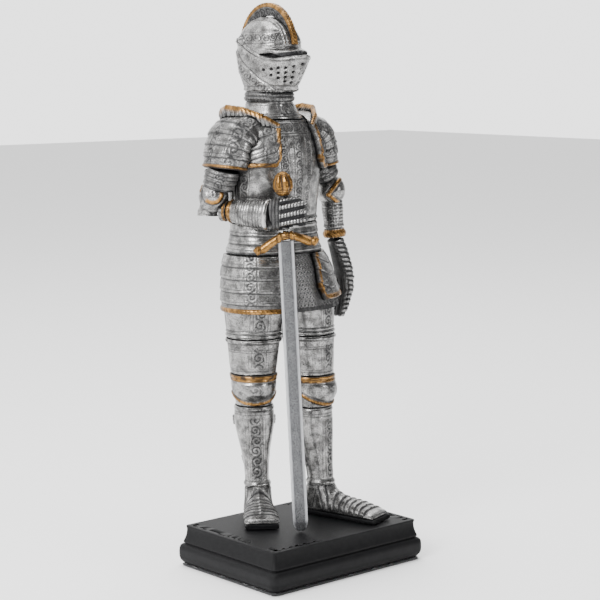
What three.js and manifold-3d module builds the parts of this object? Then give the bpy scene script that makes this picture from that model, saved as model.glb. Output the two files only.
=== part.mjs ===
// Armoured knight statuette, standing on a moulded plinth with both feet apart and the right
// hand on the grip of a long sword whose point rests on the plinth.
// Millimetres, +Z up. The origin is the middle of the plinth's underside, the knight faces -Y
// and the knight's right hand is on the -X side.
import * as THREE from 'three';
import { mergeVertices } from 'three/addons/utils/BufferGeometryUtils.js';
import Module from 'manifold-3d';

const wasm = await Module();
wasm.setup();

// ---------------------------------------------------------------- driving dimensions
const GAP = 0.3; // clearance between neighbouring pieces

// Base
const PLINTH_LENGTH = 77.7; // top face, along X
const PLINTH_DEPTH = 56.8; // top face, along Y
const PLINTH_HEIGHT = 15.7;
const PLINTH_CORNER_RADIUS = 1.6;
const MOULDING_REACH = 2.5; // how far the lower moulding stands out past the top face
const FELT_THICKNESS = 1.0;
const FELT_INSET = 0.9; // felt edge, in from the moulding's outer line

// Leg stack, from the plinth upwards
const SOLE_THICKNESS = 2.2;
const ANKLE_HEIGHT = 13.2; // plinth top to the lower edge of the greave
const GREAVE_LENGTH = 35.8;
const POLEYN_HEIGHT = 13.4;
const LOWER_CUISSE_HEIGHT = 14;
const UPPER_CUISSE_HEIGHT = 11;
const CALF_HALF_WIDTH = 8.3;
const KNEE_HALF_WIDTH = 9.5;
const THIGH_HALF_WIDTH = 12.2;
const ROD_RADIUS = 1.5;
const ROD_DEPTH = 9; // how deep a leg rod stands in the plinth

// Trunk, from the top of the thighs upwards
const SKIRT_HEIGHT = 23.5;
const SKIRT_HALF_WIDTH = 26.4;
const SKIRT_HALF_DEPTH = 16.8;
const TASSET_THICKNESS = 1.9;
const FAULD_HEIGHT = 12;
const WAIST_HALF_WIDTH = 19.4;
const WAIST_HALF_DEPTH = 13.6;
const CUIRASS_HEIGHT = 41.4;
const CHEST_HALF_WIDTH = 20.6;
const CHEST_HALF_DEPTH = 15.8;
const GORGET_HEIGHT = 6.8;
const NECK_RING_HEIGHT = 3.6;
const NECK_HALF_WIDTH = 9.6;
const NECK_PEG_RADIUS = 2.6;

// Helmet
const SKULL_HEIGHT = 29.7;
const SKULL_HALF_WIDTH = 11.6;
const SKULL_HALF_LENGTH = 15;
const PROW_REACH = 8.3; // visor's point, in front of the skull
const COMB_RISE = 5.9;
const COMB_THICKNESS = 2.6;
const SIGHT_WIDTH = 1.7; // slit between the skull's brow and the visor

// Arms
const SHOULDER_SPAN = 49; // between the two upper-arm centres
const PAULDRON_HALF_DEPTH = 12.2;
const UPPER_ARM_RADIUS = 6.6;
const UPPER_ARM_LENGTH = 21;
const FOREARM_RADIUS = 5.2;
const COUTER_RADIUS = 6.5;
const ARM_DOWEL_RADIUS = 1.6;

// Sword
const BLADE_WIDTH = 6.3;
const BLADE_THICKNESS = 2;
const POINT_LENGTH = 7;
const GRIP_RADIUS = 1.9;
const GRIP_LENGTH = 13.6;
const POMMEL_HALF_WIDTH = 3.9;
const POMMEL_HEIGHT = 9.6;
const GUARD_HALF_LENGTH = 12.8;
const GUARD_THICKNESS = 3.2;

// ---------------------------------------------------------------- levels that follow from them
const BASE_TOP = FELT_THICKNESS + GAP + PLINTH_HEIGHT;
const ANKLE_Z = BASE_TOP + ANKLE_HEIGHT;
const POLEYN_Z = ANKLE_Z + GREAVE_LENGTH + GAP;
const LOWER_CUISSE_Z = POLEYN_Z + POLEYN_HEIGHT + GAP;
const UPPER_CUISSE_Z = LOWER_CUISSE_Z + LOWER_CUISSE_HEIGHT + GAP;
const HIP_Z = UPPER_CUISSE_Z + UPPER_CUISSE_HEIGHT;
const SKIRT_Z = HIP_Z + GAP;
const FAULD_Z = SKIRT_Z + SKIRT_HEIGHT + GAP;
const CUIRASS_Z = FAULD_Z + FAULD_HEIGHT + GAP;
const GORGET_Z = CUIRASS_Z + CUIRASS_HEIGHT + GAP;
const NECK_RING_Z = GORGET_Z + GORGET_HEIGHT + GAP;
const HELMET_Z = NECK_RING_Z + NECK_RING_HEIGHT + GAP;
const SHOULDER_Z = CUIRASS_Z + CUIRASS_HEIGHT - 5;
const ELBOW_Z = SHOULDER_Z - UPPER_ARM_LENGTH - 3;
const HAND_Z = ELBOW_Z - 6.5; // middle of the right hand, on the sword's grip

// Where the figure stands, seen from above
const HIPS = { x: 0.6, y: 11.8 };
const WAIST = { x: -3, y: 13.4 };
const CHEST = { x: -4, y: 13.2 };
const NECK = { x: -5.6, y: 13 };
const LEGS = {
  right: {
    hip: [-12.2, 15.4], knee: [-10, 18.2], ankle: [-6.6, 20], kneeDrop: 0.8, turn: 35.5, toe: 23.6, heel: 8.6,
  },
  left: {
    hip: [11.6, 10.2], knee: [14, 8.8], ankle: [15.9, 5.3], kneeDrop: 2.8, turn: -17, toe: 28.8, heel: 8.8,
  },
};

// ---------------------------------------------------------------- finishes
function finish(color, roughness, metalness) {
  return new THREE.MeshStandardMaterial({ color, roughness, metalness });
}
const SILVER = ['#a7a6a3', 0.42, 0.75];
const DARK_SILVER = ['#5d5b58', 0.5, 0.7];
const GOLD = ['#b07a34', 0.45, 0.75];
const STEEL = ['#b4b7b4', 0.38, 0.6];
const ROD_STEEL = ['#8d9094', 0.4, 0.9];
const BLACK = ['#1d1d1e', 0.5, 0];
const FELT = ['#101011', 0.95, 0];

// ---------------------------------------------------------------- shape helpers
const X = new THREE.Vector3(1, 0, 0);
const UP = new THREE.Vector3(0, 0, 1);
const radians = THREE.MathUtils.degToRad;
const mix = THREE.MathUtils.lerp;

// A closed three.js geometry as a manifold solid.
function solid(geometry) {
  const bare = geometry.index ? geometry.toNonIndexed() : geometry.clone();
  bare.deleteAttribute('normal');
  bare.deleteAttribute('uv');
  const merged = mergeVertices(bare, 1e-4);
  return new wasm.Manifold(new wasm.Mesh({
    numProp: 3,
    vertProperties: new Float32Array(merged.attributes.position.array),
    triVerts: new Uint32Array(merged.index.array),
  }));
}

// Six times the signed volume of an indexed mesh: negative when its faces point in.
function signedVolume(points, index) {
  let sum = 0;
  for (let i = 0; i < index.length; i += 3) {
    sum += points[index[i]].dot(points[index[i + 1]].clone().cross(points[index[i + 2]]));
  }
  return sum;
}

// Skin over a row of closed outlines, with both ends capped.
function loft(rings) {
  const size = rings[0].length;
  const points = rings.flat();
  const index = [];
  for (let r = 0; r + 1 < rings.length; r++) {
    for (let k = 0; k < size; k++) {
      const a = r * size + k;
      const b = r * size + ((k + 1) % size);
      index.push(a, b, b + size, a, b + size, a + size);
    }
  }
  for (const r of [0, rings.length - 1]) {
    const middle = points.length;
    points.push(rings[r].reduce((sum, p) => sum.add(p), new THREE.Vector3()).divideScalar(size));
    for (let k = 0; k < size; k++) {
      const edge = [r * size + k, r * size + ((k + 1) % size)];
      index.push(middle, ...(r === 0 ? edge.reverse() : edge));
    }
  }
  if (signedVolume(points, index) < 0) index.reverse();
  const geometry = new THREE.BufferGeometry();
  geometry.setAttribute('position', new THREE.Float32BufferAttribute(points.flatMap((p) => p.toArray()), 3));
  geometry.setIndex(index);
  return solid(geometry);
}

// Superellipse about a centre: square 2 is an ellipse, more is boxier.
function outline(centre, side, other, halfSide, halfOther, square, segments) {
  return Array.from({ length: segments }, (_, k) => {
    const angle = (2 * Math.PI * k) / segments;
    const c = Math.cos(angle);
    const s = Math.sin(angle);
    return centre.clone()
      .addScaledVector(side, halfSide * Math.sign(c) * Math.abs(c) ** (2 / square))
      .addScaledVector(other, halfOther * Math.sign(s) * Math.abs(s) ** (2 / square));
  });
}

// Solid through stations [x, y, z, half width along side, half width across it]. Rings stand
// square to the path, or level where level is true. grow makes it fatter and longer all round.
function sweep(stations, { side = X, level = false, square = 2.2, grow = 0, segments = 20 } = {}) {
  const last = stations.length - 1;
  const centres = stations.map(([x, y, z]) => new THREE.Vector3(x, y, z));
  const ways = centres.map((_, i) => {
    const way = centres[Math.min(i + 1, last)].clone().sub(centres[Math.max(i - 1, 0)]).normalize();
    return level ? UP.clone().multiplyScalar(Math.sign(way.z)) : way;
  });
  centres[0].addScaledVector(ways[0], -grow);
  centres[last].addScaledVector(ways[last], grow);
  return loft(stations.map((station, i) => {
    const across = side.clone().addScaledVector(ways[i], -side.dot(ways[i])).normalize();
    const other = ways[i].clone().cross(across);
    return outline(centres[i], across, other, station[3] + grow, station[4] + grow, square, segments);
  }));
}

// Rod between two points.
function rod(from, to, radius, grow = 0, segments = 14) {
  const ends = [from, to].map((p) => [...p, radius, radius]);
  const side = Math.abs(to[0] - from[0]) > Math.abs(to[2] - from[2]) ? UP : X;
  return sweep(ends, { side, square: 2, grow, segments });
}

// Block between two corners.
function block(low, high) {
  const size = high.map((v, i) => v - low[i]);
  const geometry = new THREE.BoxGeometry(...size);
  geometry.translate(...high.map((v, i) => (v + low[i]) / 2));
  return solid(geometry);
}

// Ellipsoid with an upright pole.
function ellipsoid(centre, halves, grow = 0, around = 22, rows = 14) {
  const geometry = new THREE.SphereGeometry(1, around, rows);
  geometry.rotateX(Math.PI / 2);
  geometry.scale(...halves.map((h) => h + grow));
  geometry.translate(...centre);
  return solid(geometry);
}

function without(body, ...others) {
  return others.reduce((rest, other) => rest.subtract(other), body);
}

const statuette = new THREE.Group();

function addPiece(name, body, look) {
  const { vertProperties, triVerts, numProp } = body.getMesh();
  const geometry = new THREE.BufferGeometry();
  const places = [];
  for (let i = 0; i < vertProperties.length; i += numProp) {
    places.push(vertProperties[i], vertProperties[i + 1], vertProperties[i + 2]);
  }
  geometry.setAttribute('position', new THREE.Float32BufferAttribute(places, 3));
  geometry.setIndex(Array.from(triVerts));
  geometry.computeVertexNormals();
  const mesh = new THREE.Mesh(geometry, finish(...look));
  mesh.name = name;
  statuette.add(mesh);
}

// ---------------------------------------------------------------- base
// Rounded rectangle, level, at height z.
function roundedRectangle(length, depth, radius, z) {
  const steps = 3;
  const corners = [[1, 1, 0], [-1, 1, 90], [-1, -1, 180], [1, -1, 270]];
  return corners.flatMap(([sx, sy, start]) => Array.from({ length: steps + 1 }, (_, i) => {
    const angle = radians(start + (90 * i) / steps);
    return new THREE.Vector3(
      sx * (length / 2 - radius) + radius * Math.cos(angle),
      sy * (depth / 2 - radius) + radius * Math.sin(angle),
      z,
    );
  }));
}

// Share of the plinth's height, share of the moulding's reach: foot, torus, groove, cove, edge.
const PLINTH_PROFILE = [
  [0, 0.4], [0.1, 0.86], [0.24, 1], [0.42, 0.94], [0.5, 0.6], [0.515, 0.12], [0.545, 0.12],
  [0.56, 0.42], [0.72, 0.06], [0.9, -0.1], [0.97, 0], [1, -0.1],
];

function plinth() {
  return loft(PLINTH_PROFILE.map(([up, out]) => {
    const grown = 2 * out * MOULDING_REACH;
    const z = FELT_THICKNESS + GAP + up * PLINTH_HEIGHT;
    return roundedRectangle(PLINTH_LENGTH + grown, PLINTH_DEPTH + grown, PLINTH_CORNER_RADIUS, z);
  }));
}

function feltPad() {
  const grown = 2 * (MOULDING_REACH - FELT_INSET);
  const size = [PLINTH_LENGTH + grown, PLINTH_DEPTH + grown, PLINTH_CORNER_RADIUS];
  return loft([0, FELT_THICKNESS].map((z) => roundedRectangle(...size, z)));
}

// ---------------------------------------------------------------- legs
// Middle of a leg at height z: a smooth bow through its ankle, knee and hip.
function legAt(leg, z) {
  const heights = [ANKLE_Z, POLEYN_Z + POLEYN_HEIGHT / 2, HIP_Z];
  const places = [leg.ankle, leg.knee, leg.hip];
  const weights = heights.map((own, i) => heights.reduce(
    (product, other, j) => (j === i ? product : (product * (z - other)) / (own - other)),
    1,
  ));
  return [0, 1].map((axis) => places.reduce((sum, place, i) => sum + place[axis] * weights[i], 0));
}

const footSide = (leg) => new THREE.Vector3(Math.cos(radians(leg.turn)), -Math.sin(radians(leg.turn)), 0);
const footWay = (leg) => new THREE.Vector3(-Math.sin(radians(leg.turn)), -Math.cos(radians(leg.turn)), 0);

// One plate of a leg: level rings from height bottom over length, at shares [t, width, depth]
// of its half width, and the share by which the ring stands back from the leg's middle.
function legPlate(leg, grow, bottom, length, halfWidth, shares) {
  const stations = shares.map(([t, width, depth, back = 0]) => {
    const z = bottom + t * length;
    const [x, y] = legAt(leg, z);
    const middle = new THREE.Vector3(x, y, z).addScaledVector(footWay(leg), -back * halfWidth);
    return [...middle.toArray(), width * halfWidth, depth * halfWidth];
  });
  return sweep(stations, { side: footSide(leg), level: true, square: 2.15, grow });
}

const greave = (leg, grow = 0) => legPlate(leg, grow, ANKLE_Z, GREAVE_LENGTH - leg.kneeDrop, CALF_HALF_WIDTH, [
  [0, 0.65, 0.7], [0.1, 0.61, 0.66], [0.26, 0.64, 0.72, 0.03], [0.44, 0.74, 0.85, 0.1],
  [0.62, 0.89, 0.98, 0.17], [0.8, 1.03, 1.03, 0.18], [0.92, 1, 0.99, 0.12], [1, 0.96, 0.95, 0.06],
]);
const poleyn = (leg, grow = 0) => legPlate(leg, grow, POLEYN_Z - leg.kneeDrop, POLEYN_HEIGHT, KNEE_HALF_WIDTH, [
  [0, 0.84, 0.86, 0.04], [0.14, 0.86, 0.9, 0.02], [0.4, 0.96, 1.02], [0.7, 1, 1.04], [0.86, 0.97, 0.97],
  [0.93, 1.01, 1], [1, 1, 0.99],
]);
function lowerCuisse(leg, grow = 0) {
  const height = LOWER_CUISSE_HEIGHT + leg.kneeDrop;
  return legPlate(leg, grow, LOWER_CUISSE_Z - leg.kneeDrop, height, THIGH_HALF_WIDTH, [
    [0, 0.77, 0.76], [0.3, 0.82, 0.8], [0.7, 0.87, 0.85], [0.86, 0.89, 0.87], [0.94, 0.94, 0.92],
    [1, 0.92, 0.9],
  ]);
}
const upperCuisse = (leg, grow = 0) => legPlate(leg, grow, UPPER_CUISSE_Z, UPPER_CUISSE_HEIGHT, THIGH_HALF_WIDTH, [
  [0, 0.9, 0.87], [0.2, 0.92, 0.89], [0.6, 0.97, 0.93], [1, 1.01, 0.96],
]);

// Steel rod that ties the plinth, the leg and the hips together.
function legRod(leg, grow = 0) {
  const foot = [...leg.ankle, BASE_TOP - ROD_DEPTH];
  return rod(foot, [...leg.hip, SKIRT_Z + ROD_DEPTH], ROD_RADIUS, grow);
}

// Point of a foot, ahead of the ankle and at height z.
function footPoint(leg, ahead, z) {
  return new THREE.Vector3(...leg.ankle, z).addScaledVector(footWay(leg), ahead);
}

// Laminated shoe: rings fan round the instep from the level ankle to the upright toe. Each is
// [ahead and height of its top, ahead and height of its bottom, half width].
function sabaton(leg) {
  const top = ANKLE_Z - GAP;
  const floor = BASE_TOP + SOLE_THICKNESS + GAP;
  const buried = floor - 1.5;
  const { toe, heel } = leg;
  const rings = [
    [5.8, top, -5.8, top, 5.3], [6.8, top - 1.6, -7, top - 3.6, 5.4], [8.2, top - 2.8, -heel, floor + 2, 5.5],
    [9.8, top - 3.5, -0.6 * heel, buried, 5.7], [12.4, top - 4.5, 4, buried, 6],
    [0.66 * toe, floor + 4.7, 0.6 * toe, buried, 6.7], [0.85 * toe, floor + 3, 0.84 * toe, buried, 7.2],
    [0.96 * toe, floor + 2.1, 0.96 * toe, buried, 7.1], [toe, floor + 1.2, toe, buried, 6.7],
  ];
  const body = loft(rings.map(([topAhead, topZ, bottomAhead, bottomZ, halfWidth]) => {
    const high = footPoint(leg, topAhead, topZ);
    const low = footPoint(leg, bottomAhead, bottomZ);
    const middle = high.clone().lerp(low, 0.5);
    const other = high.clone().sub(low);
    const halfHeight = other.length() / 2;
    return outline(middle, footSide(leg), other.normalize(), halfWidth, halfHeight, 2.4, 20);
  }));
  return body.trimByPlane([0, 0, 1], floor);
}

// Flat black pad under the shoe.
function sole(leg) {
  const z = BASE_TOP + GAP + SOLE_THICKNESS / 2;
  const widths = [[-1, 3.2], [-0.8, 4.8], [0, 5.4], [0.5, 6.3], [0.85, 7.3], [1.03, 7]];
  const stations = widths.map(([share, halfWidth]) => {
    const middle = footPoint(leg, share * (share < 0 ? leg.heel : leg.toe), z);
    return [...middle.toArray(), halfWidth, SOLE_THICKNESS / 2];
  });
  return sweep(stations, { side: footSide(leg), square: 7, segments: 16 });
}

// ---------------------------------------------------------------- hips and trunk
// Level rings about a middle that moves from one place to another: [t, half width, half depth].
function trunk(from, to, bottom, height, shares, grow = 0, square = 2.2, segments = 28) {
  const stations = shares.map(([t, halfWidth, halfDepth]) => {
    const z = bottom + t * height;
    return [mix(from.x, to.x, t), mix(from.y, to.y, t), z, halfWidth, halfDepth];
  });
  return sweep(stations, { level: true, square, grow, segments });
}

const WAIST_FLARE = 2.4; // how much wider the fauld is below than at the waist
function mailSkirt(grow = 0) {
  return trunk(HIPS, WAIST, SKIRT_Z, SKIRT_HEIGHT, [
    [0, SKIRT_HALF_WIDTH, SKIRT_HALF_DEPTH], [0.35, SKIRT_HALF_WIDTH - 1.4, SKIRT_HALF_DEPTH - 0.5],
    [0.75, mix(WAIST_HALF_WIDTH, SKIRT_HALF_WIDTH, 0.5), mix(WAIST_HALF_DEPTH, SKIRT_HALF_DEPTH, 0.55)],
    [1, WAIST_HALF_WIDTH + 0.6, WAIST_HALF_DEPTH + 0.4],
  ], grow);
}

// Wall of plate over the mail, before it is split into tassets and culet. It stops at height
// hem above the lower edge of the mail.
function hipPlates(hem) {
  const wall = without(mailSkirt(GAP + TASSET_THICKNESS), mailSkirt(GAP));
  return wall.trimByPlane([0, 0, 1], SKIRT_Z + hem).trimByPlane([0, 0, -1], -(FAULD_Z - GAP));
}

// Wedge, from above, between two bearings in degrees from straight ahead towards +X.
function wedge(from, to, bottom, top) {
  const reach = 2 * SKIRT_HALF_WIDTH;
  const steps = 6;
  const ring = (z) => [
    new THREE.Vector3(HIPS.x, HIPS.y, z),
    ...Array.from({ length: steps + 1 }, (_, i) => {
      const bearing = radians(mix(from, to, i / steps));
      return new THREE.Vector3(HIPS.x + reach * Math.sin(bearing), HIPS.y - reach * Math.cos(bearing), z);
    }),
  ];
  return loft([ring(bottom), ring(top)]);
}
const OPENING_RIGHT = 25; // bearing of the right tasset's front edge, off straight ahead
const OPENING_LEFT = 19; // and of the left one's
const CULET_BEARING = 138; // bearing of their rear edges
const SEAM = 0.7; // degrees of gap between a tasset and the culet
const RIGHT_HEM = 0.2; // heights of the plates' lower edges above the mail's
const LEFT_HEM = 4;
const REAR_HEM = 2;
function hipPlate(from, to, hem) {
  return hipPlates(hem).intersect(wedge(from, to, SKIRT_Z - 1, FAULD_Z + 1));
}

function fauld() {
  return trunk(WAIST, WAIST, FAULD_Z, FAULD_HEIGHT, [
    [0, WAIST_HALF_WIDTH + WAIST_FLARE, WAIST_HALF_DEPTH + WAIST_FLARE - 0.4],
    [0.35, WAIST_HALF_WIDTH + 0.9, WAIST_HALF_DEPTH + 0.9], [1, WAIST_HALF_WIDTH, WAIST_HALF_DEPTH],
  ]);
}

function cuirass(grow = 0) {
  return trunk(WAIST, CHEST, CUIRASS_Z, CUIRASS_HEIGHT, [
    [0, WAIST_HALF_WIDTH, WAIST_HALF_DEPTH], [0.16, WAIST_HALF_WIDTH + 0.2, WAIST_HALF_DEPTH + 0.9],
    [0.45, CHEST_HALF_WIDTH, CHEST_HALF_DEPTH + 0.3], [0.7, CHEST_HALF_WIDTH - 0.4, CHEST_HALF_DEPTH],
    [0.87, CHEST_HALF_WIDTH - 3, CHEST_HALF_DEPTH - 1.6], [1, NECK_HALF_WIDTH + 4, NECK_HALF_WIDTH + 2.2],
  ], grow);
}
const breastplate = () => cuirass().trimByPlane([0, -1, 0], -(CHEST.y - GAP / 2));
const backplate = () => cuirass().trimByPlane([0, 1, 0], CHEST.y + GAP / 2);

function gorget(grow = 0) {
  return trunk(CHEST, NECK, GORGET_Z, GORGET_HEIGHT, [
    [0, NECK_HALF_WIDTH + 3.4, NECK_HALF_WIDTH + 1.9], [0.4, NECK_HALF_WIDTH + 1.4, NECK_HALF_WIDTH + 1],
    [1, NECK_HALF_WIDTH - 0.3, NECK_HALF_WIDTH - 0.3],
  ], grow);
}

function neckRing() {
  return trunk(NECK, NECK, NECK_RING_Z, NECK_RING_HEIGHT, [
    [0, NECK_HALF_WIDTH - 0.6, NECK_HALF_WIDTH - 0.4], [0.3, NECK_HALF_WIDTH, NECK_HALF_WIDTH + 0.2],
    [0.7, NECK_HALF_WIDTH, NECK_HALF_WIDTH + 0.2], [1, NECK_HALF_WIDTH - 0.6, NECK_HALF_WIDTH - 0.4],
  ]);
}

function neckPeg(grow = 0) {
  const reach = 7;
  return rod([NECK.x, NECK.y, GORGET_Z - reach], [NECK.x, NECK.y, HELMET_Z + reach], NECK_PEG_RADIUS, grow);
}

// ---------------------------------------------------------------- helmet
const BROW_Z = HELMET_Z + 0.575 * SKULL_HEIGHT; // lower edge of the skull over the sight
const CHIN_Z = HELMET_Z + 0.6; // lowest place on the visor's lower edge
const TEMPLE_Y = NECK.y + 5.5; // rear end of the visor's lower edge, at brow height
const CHIN_Y = NECK.y - 0.9 * SKULL_HALF_LENGTH;

function skullForm(grow = 0) {
  const shares = [
    [0, 0.76, 0.64], [0.1, 0.83, 0.72], [0.28, 0.95, 0.88], [0.52, 1, 0.99], [0.7, 0.95, 0.96],
    [0.84, 0.78, 0.8], [0.94, 0.5, 0.54], [1, 0.16, 0.18],
  ];
  const rings = shares.map(([t, width, length]) => [t, width * SKULL_HALF_WIDTH, length * SKULL_HALF_LENGTH]);
  return trunk(NECK, NECK, HELMET_Z, SKULL_HEIGHT, rings, grow, 2.1, 24);
}

// Level ring like a ship's bow: round behind, drawn out to a point ahead.
function bowRing(z, halfWidth, ahead, behind) {
  const segments = 24;
  return Array.from({ length: segments }, (_, k) => {
    const angle = (2 * Math.PI * k) / segments;
    const s = Math.sin(angle);
    const c = Math.cos(angle);
    const front = s < 0;
    return new THREE.Vector3(
      NECK.x + halfWidth * Math.sign(c) * Math.abs(c) ** (front ? 1.18 : 1),
      NECK.y + (front ? ahead : behind) * Math.sign(s) * Math.abs(s) ** (front ? 1.12 : 1),
      z,
    );
  });
}

// Front of the helmet from the chin to the brow, solid. Shares of the visor's height.
function faceForm(grow = 0) {
  const reach = SKULL_HALF_LENGTH + PROW_REACH;
  const height = BROW_Z - HELMET_Z;
  const rings = [
    [0, 0.8, 0.56], [0.12, 0.86, 0.64], [0.4, 0.97, 0.78], [0.7, 1.04, 0.93], [0.88, 1.06, 1], [1, 1.06, 0.97],
  ];
  return loft(rings.map(([t, width, ahead]) => bowRing(
    HELMET_Z + t * height,
    width * SKULL_HALF_WIDTH + grow,
    ahead * reach + grow,
    0.5 * SKULL_HALF_LENGTH,
  )));
}

// Slanting plane of the visor's lower edge, from the temple down to the chin. Its normal
// points ahead and up, towards the visor.
const edgeRun = new THREE.Vector2(CHIN_Y - TEMPLE_Y, CHIN_Z - BROW_Z).normalize();
const edgeNormal = [0, edgeRun.y, -edgeRun.x];
const edgeOffset = edgeNormal[1] * TEMPLE_Y + edgeNormal[2] * BROW_Z;

function sightSlit() {
  const depth = 2.2;
  const reach = SKULL_HALF_LENGTH + PROW_REACH;
  const low = [NECK.x - 0.75 * SKULL_HALF_WIDTH, NECK.y - 2 * reach, BROW_Z - GAP - SIGHT_WIDTH];
  const high = [NECK.x + 0.75 * SKULL_HALF_WIDTH, NECK.y - 4, BROW_Z + 1];
  return without(block(low, high), faceForm(-depth));
}

function visor() {
  const front = faceForm().trimByPlane(edgeNormal, edgeOffset + GAP / 2);
  return without(front.trimByPlane([0, 0, -1], -(BROW_Z - GAP)), sightSlit());
}

const BEVOR_REAR_Y = NECK.y - 3.5;
function bevor() {
  const under = faceForm().trimByPlane(edgeNormal.map((v) => -v), -(edgeOffset - GAP / 2));
  return without(under.trimByPlane([0, -1, 0], -(BEVOR_REAR_Y - GAP / 2)), neckPeg(GAP));
}

function skull() {
  const ahead = faceForm(GAP + 1).trimByPlane(edgeNormal, edgeOffset - GAP / 2);
  const below = ahead.trimByPlane([0, 0, -1], -BROW_Z);
  const chin = faceForm(GAP + 1).trimByPlane([0, -1, 0], -(BEVOR_REAR_Y + GAP / 2));
  const lowerFront = chin.trimByPlane([0, 0, -1], -BROW_Z);
  return without(skullForm(), below, lowerFront, neckPeg(GAP));
}

// Fin along the crown: an upright disc with the skull taken out of it.
function comb() {
  const top = HELMET_Z + SKULL_HEIGHT + COMB_RISE;
  const halfLength = SKULL_HALF_LENGTH + 2.2;
  const middleZ = HELMET_Z + 0.55 * SKULL_HEIGHT;
  const middleY = NECK.y + 0.6;
  const geometry = new THREE.CylinderGeometry(1, 1, COMB_THICKNESS, 40);
  geometry.rotateZ(Math.PI / 2);
  geometry.scale(1, halfLength, top - middleZ);
  geometry.translate(NECK.x, middleY, middleZ);
  const disc = solid(geometry);
  const upper = disc.trimByPlane([0, 0, 1], BROW_Z + 1.5);
  const rear = disc.trimByPlane([0, 1, 0], NECK.y).trimByPlane([0, 0, 1], HELMET_Z + 5);
  return without(upper.add(rear), skullForm(GAP));
}

// ---------------------------------------------------------------- arms
const Y = new THREE.Vector3(0, 1, 0);
const ARM_Y = 13.4;
const armX = (sign, out) => CHEST.x + sign * out;
const HALF_SPAN = SHOULDER_SPAN / 2;

function pauldron(sign, grow = 0) {
  const depth = PAULDRON_HALF_DEPTH;
  const thick = UPPER_ARM_RADIUS + 0.8;
  const stations = [
    [-16, 1.5, depth - 3.4, thick - 2.6], [-9, 1.6, depth - 1, thick - 0.6],
    [-3.4, -1.6, depth - 0.3, thick], [-0.6, -8, depth - 1, thick - 0.2], [0.4, -14.6, depth - 2.4, thick - 0.7],
  ].map(([out, up, halfDepth, halfThick]) => [
    armX(sign, HALF_SPAN + out), ARM_Y, SHOULDER_Z + up, halfDepth, halfThick,
  ]);
  return sweep(stations, { side: Y, grow });
}

// Lames of the pauldron that lie over the side of the breast, as a shell on the cuirass.
function pauldronWing(arm) {
  const thickness = 2;
  const shell = without(cuirass(GAP + thickness), cuirass(GAP));
  const middle = [armX(arm.sign, HALF_SPAN - 7.4 + arm.wingShift), CHEST.y - 12, SHOULDER_Z - 4.6];
  return shell.intersect(ellipsoid(middle, [9.6, 9, 9], 0, 24, 16));
}

// Upright flange on a shoulder, curving round the side of the neck from chest to back.
function hautePiece(sign) {
  const route = [
    [-16, -14.4, 2], [-10, -10, 5.2], [-5.2, -3.4, 8], [-4.2, 4, 8.6], [-6.4, 10, 7.2], [-12.4, 12.6, 4.4],
  ];
  const stations = route.map(([out, back, up], i) => {
    const end = i === 0 || i === route.length - 1;
    return [armX(sign, HALF_SPAN + out), ARM_Y + back, SHOULDER_Z + up, end ? 1.7 : 2.7, end ? 1 : 1.3];
  });
  const flange = sweep(stations, { side: UP, segments: 14 });
  return without(flange, pauldron(sign, GAP), cuirass(GAP + 2 + GAP), gorget(GAP));
}

const ARMS = {
  right: {
    sign: -1,
    wingShift: 0,
    elbow: [armX(-1, HALF_SPAN + 2.6), ARM_Y + 4.2, ELBOW_Z - 6.4],
    couterRise: 4.8,
    wrist: [-20.8, -6, HAND_Z - 1.4],
    split: 0.27,
  },
  left: {
    sign: 1,
    wingShift: 4.5,
    elbow: [armX(1, HALF_SPAN + 8), ARM_Y - 0.2, ELBOW_Z - 1.4],
    couterRise: 0,
    wrist: [30.2, ARM_Y - 0.9, ELBOW_Z - 21.6],
    split: 0.79,
  },
};

function shoulderPoint(arm) {
  return [armX(arm.sign, HALF_SPAN + 1), ARM_Y, SHOULDER_Z - 14.6];
}

function couter(arm, grow = 0) {
  const [x, y, z] = arm.elbow;
  const r = COUTER_RADIUS;
  const dome = ellipsoid([x, y, z + arm.couterRise], [r * 0.9, r, r], grow, 18, 12);
  const point = [x + arm.sign * 0.1 * r, y + 0.6 * r, z - 0.3 * r];
  return dome.add(ellipsoid(point, [r * 0.6, r * 0.6, r * 0.66], grow, 12, 8));
}

function rerebraceForm(arm, grow = 0) {
  const top = shoulderPoint(arm);
  const stations = [0, 0.35, 0.75].map((t) => [
    mix(top[0], arm.elbow[0], t), mix(top[1], arm.elbow[1], t), mix(top[2] + 1, arm.elbow[2], t),
    UPPER_ARM_RADIUS - 1.4 * t, UPPER_ARM_RADIUS + 0.6 - 1.8 * t,
  ]);
  return sweep(stations, { level: true, grow, segments: 18 });
}
const rerebrace = (arm) => without(
  rerebraceForm(arm), pauldron(arm.sign, GAP), couter(arm, GAP), cuirass(GAP),
);

// Stretch of a forearm between two shares of the way from elbow to wrist.
function forearm(arm, shares, grow = 0) {
  const stations = shares.map(([t, high, wide]) => [
    ...[0, 1, 2].map((axis) => mix(arm.elbow[axis], arm.wrist[axis], t)), high, wide,
  ]);
  return sweep(stations, { side: arm.sign < 0 ? UP : Y, grow, segments: 18 });
}

function vambrace(arm) {
  const end = arm.split - 0.01;
  const whole = forearm(arm, [
    [0.04, FOREARM_RADIUS - 0.9, FOREARM_RADIUS - 0.9], [end / 2, FOREARM_RADIUS - 0.5, FOREARM_RADIUS - 0.8],
    [end, FOREARM_RADIUS - 1.2, FOREARM_RADIUS - 1.2],
  ]);
  return without(whole, couter(arm, GAP), rerebraceForm(arm, GAP));
}

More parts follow.
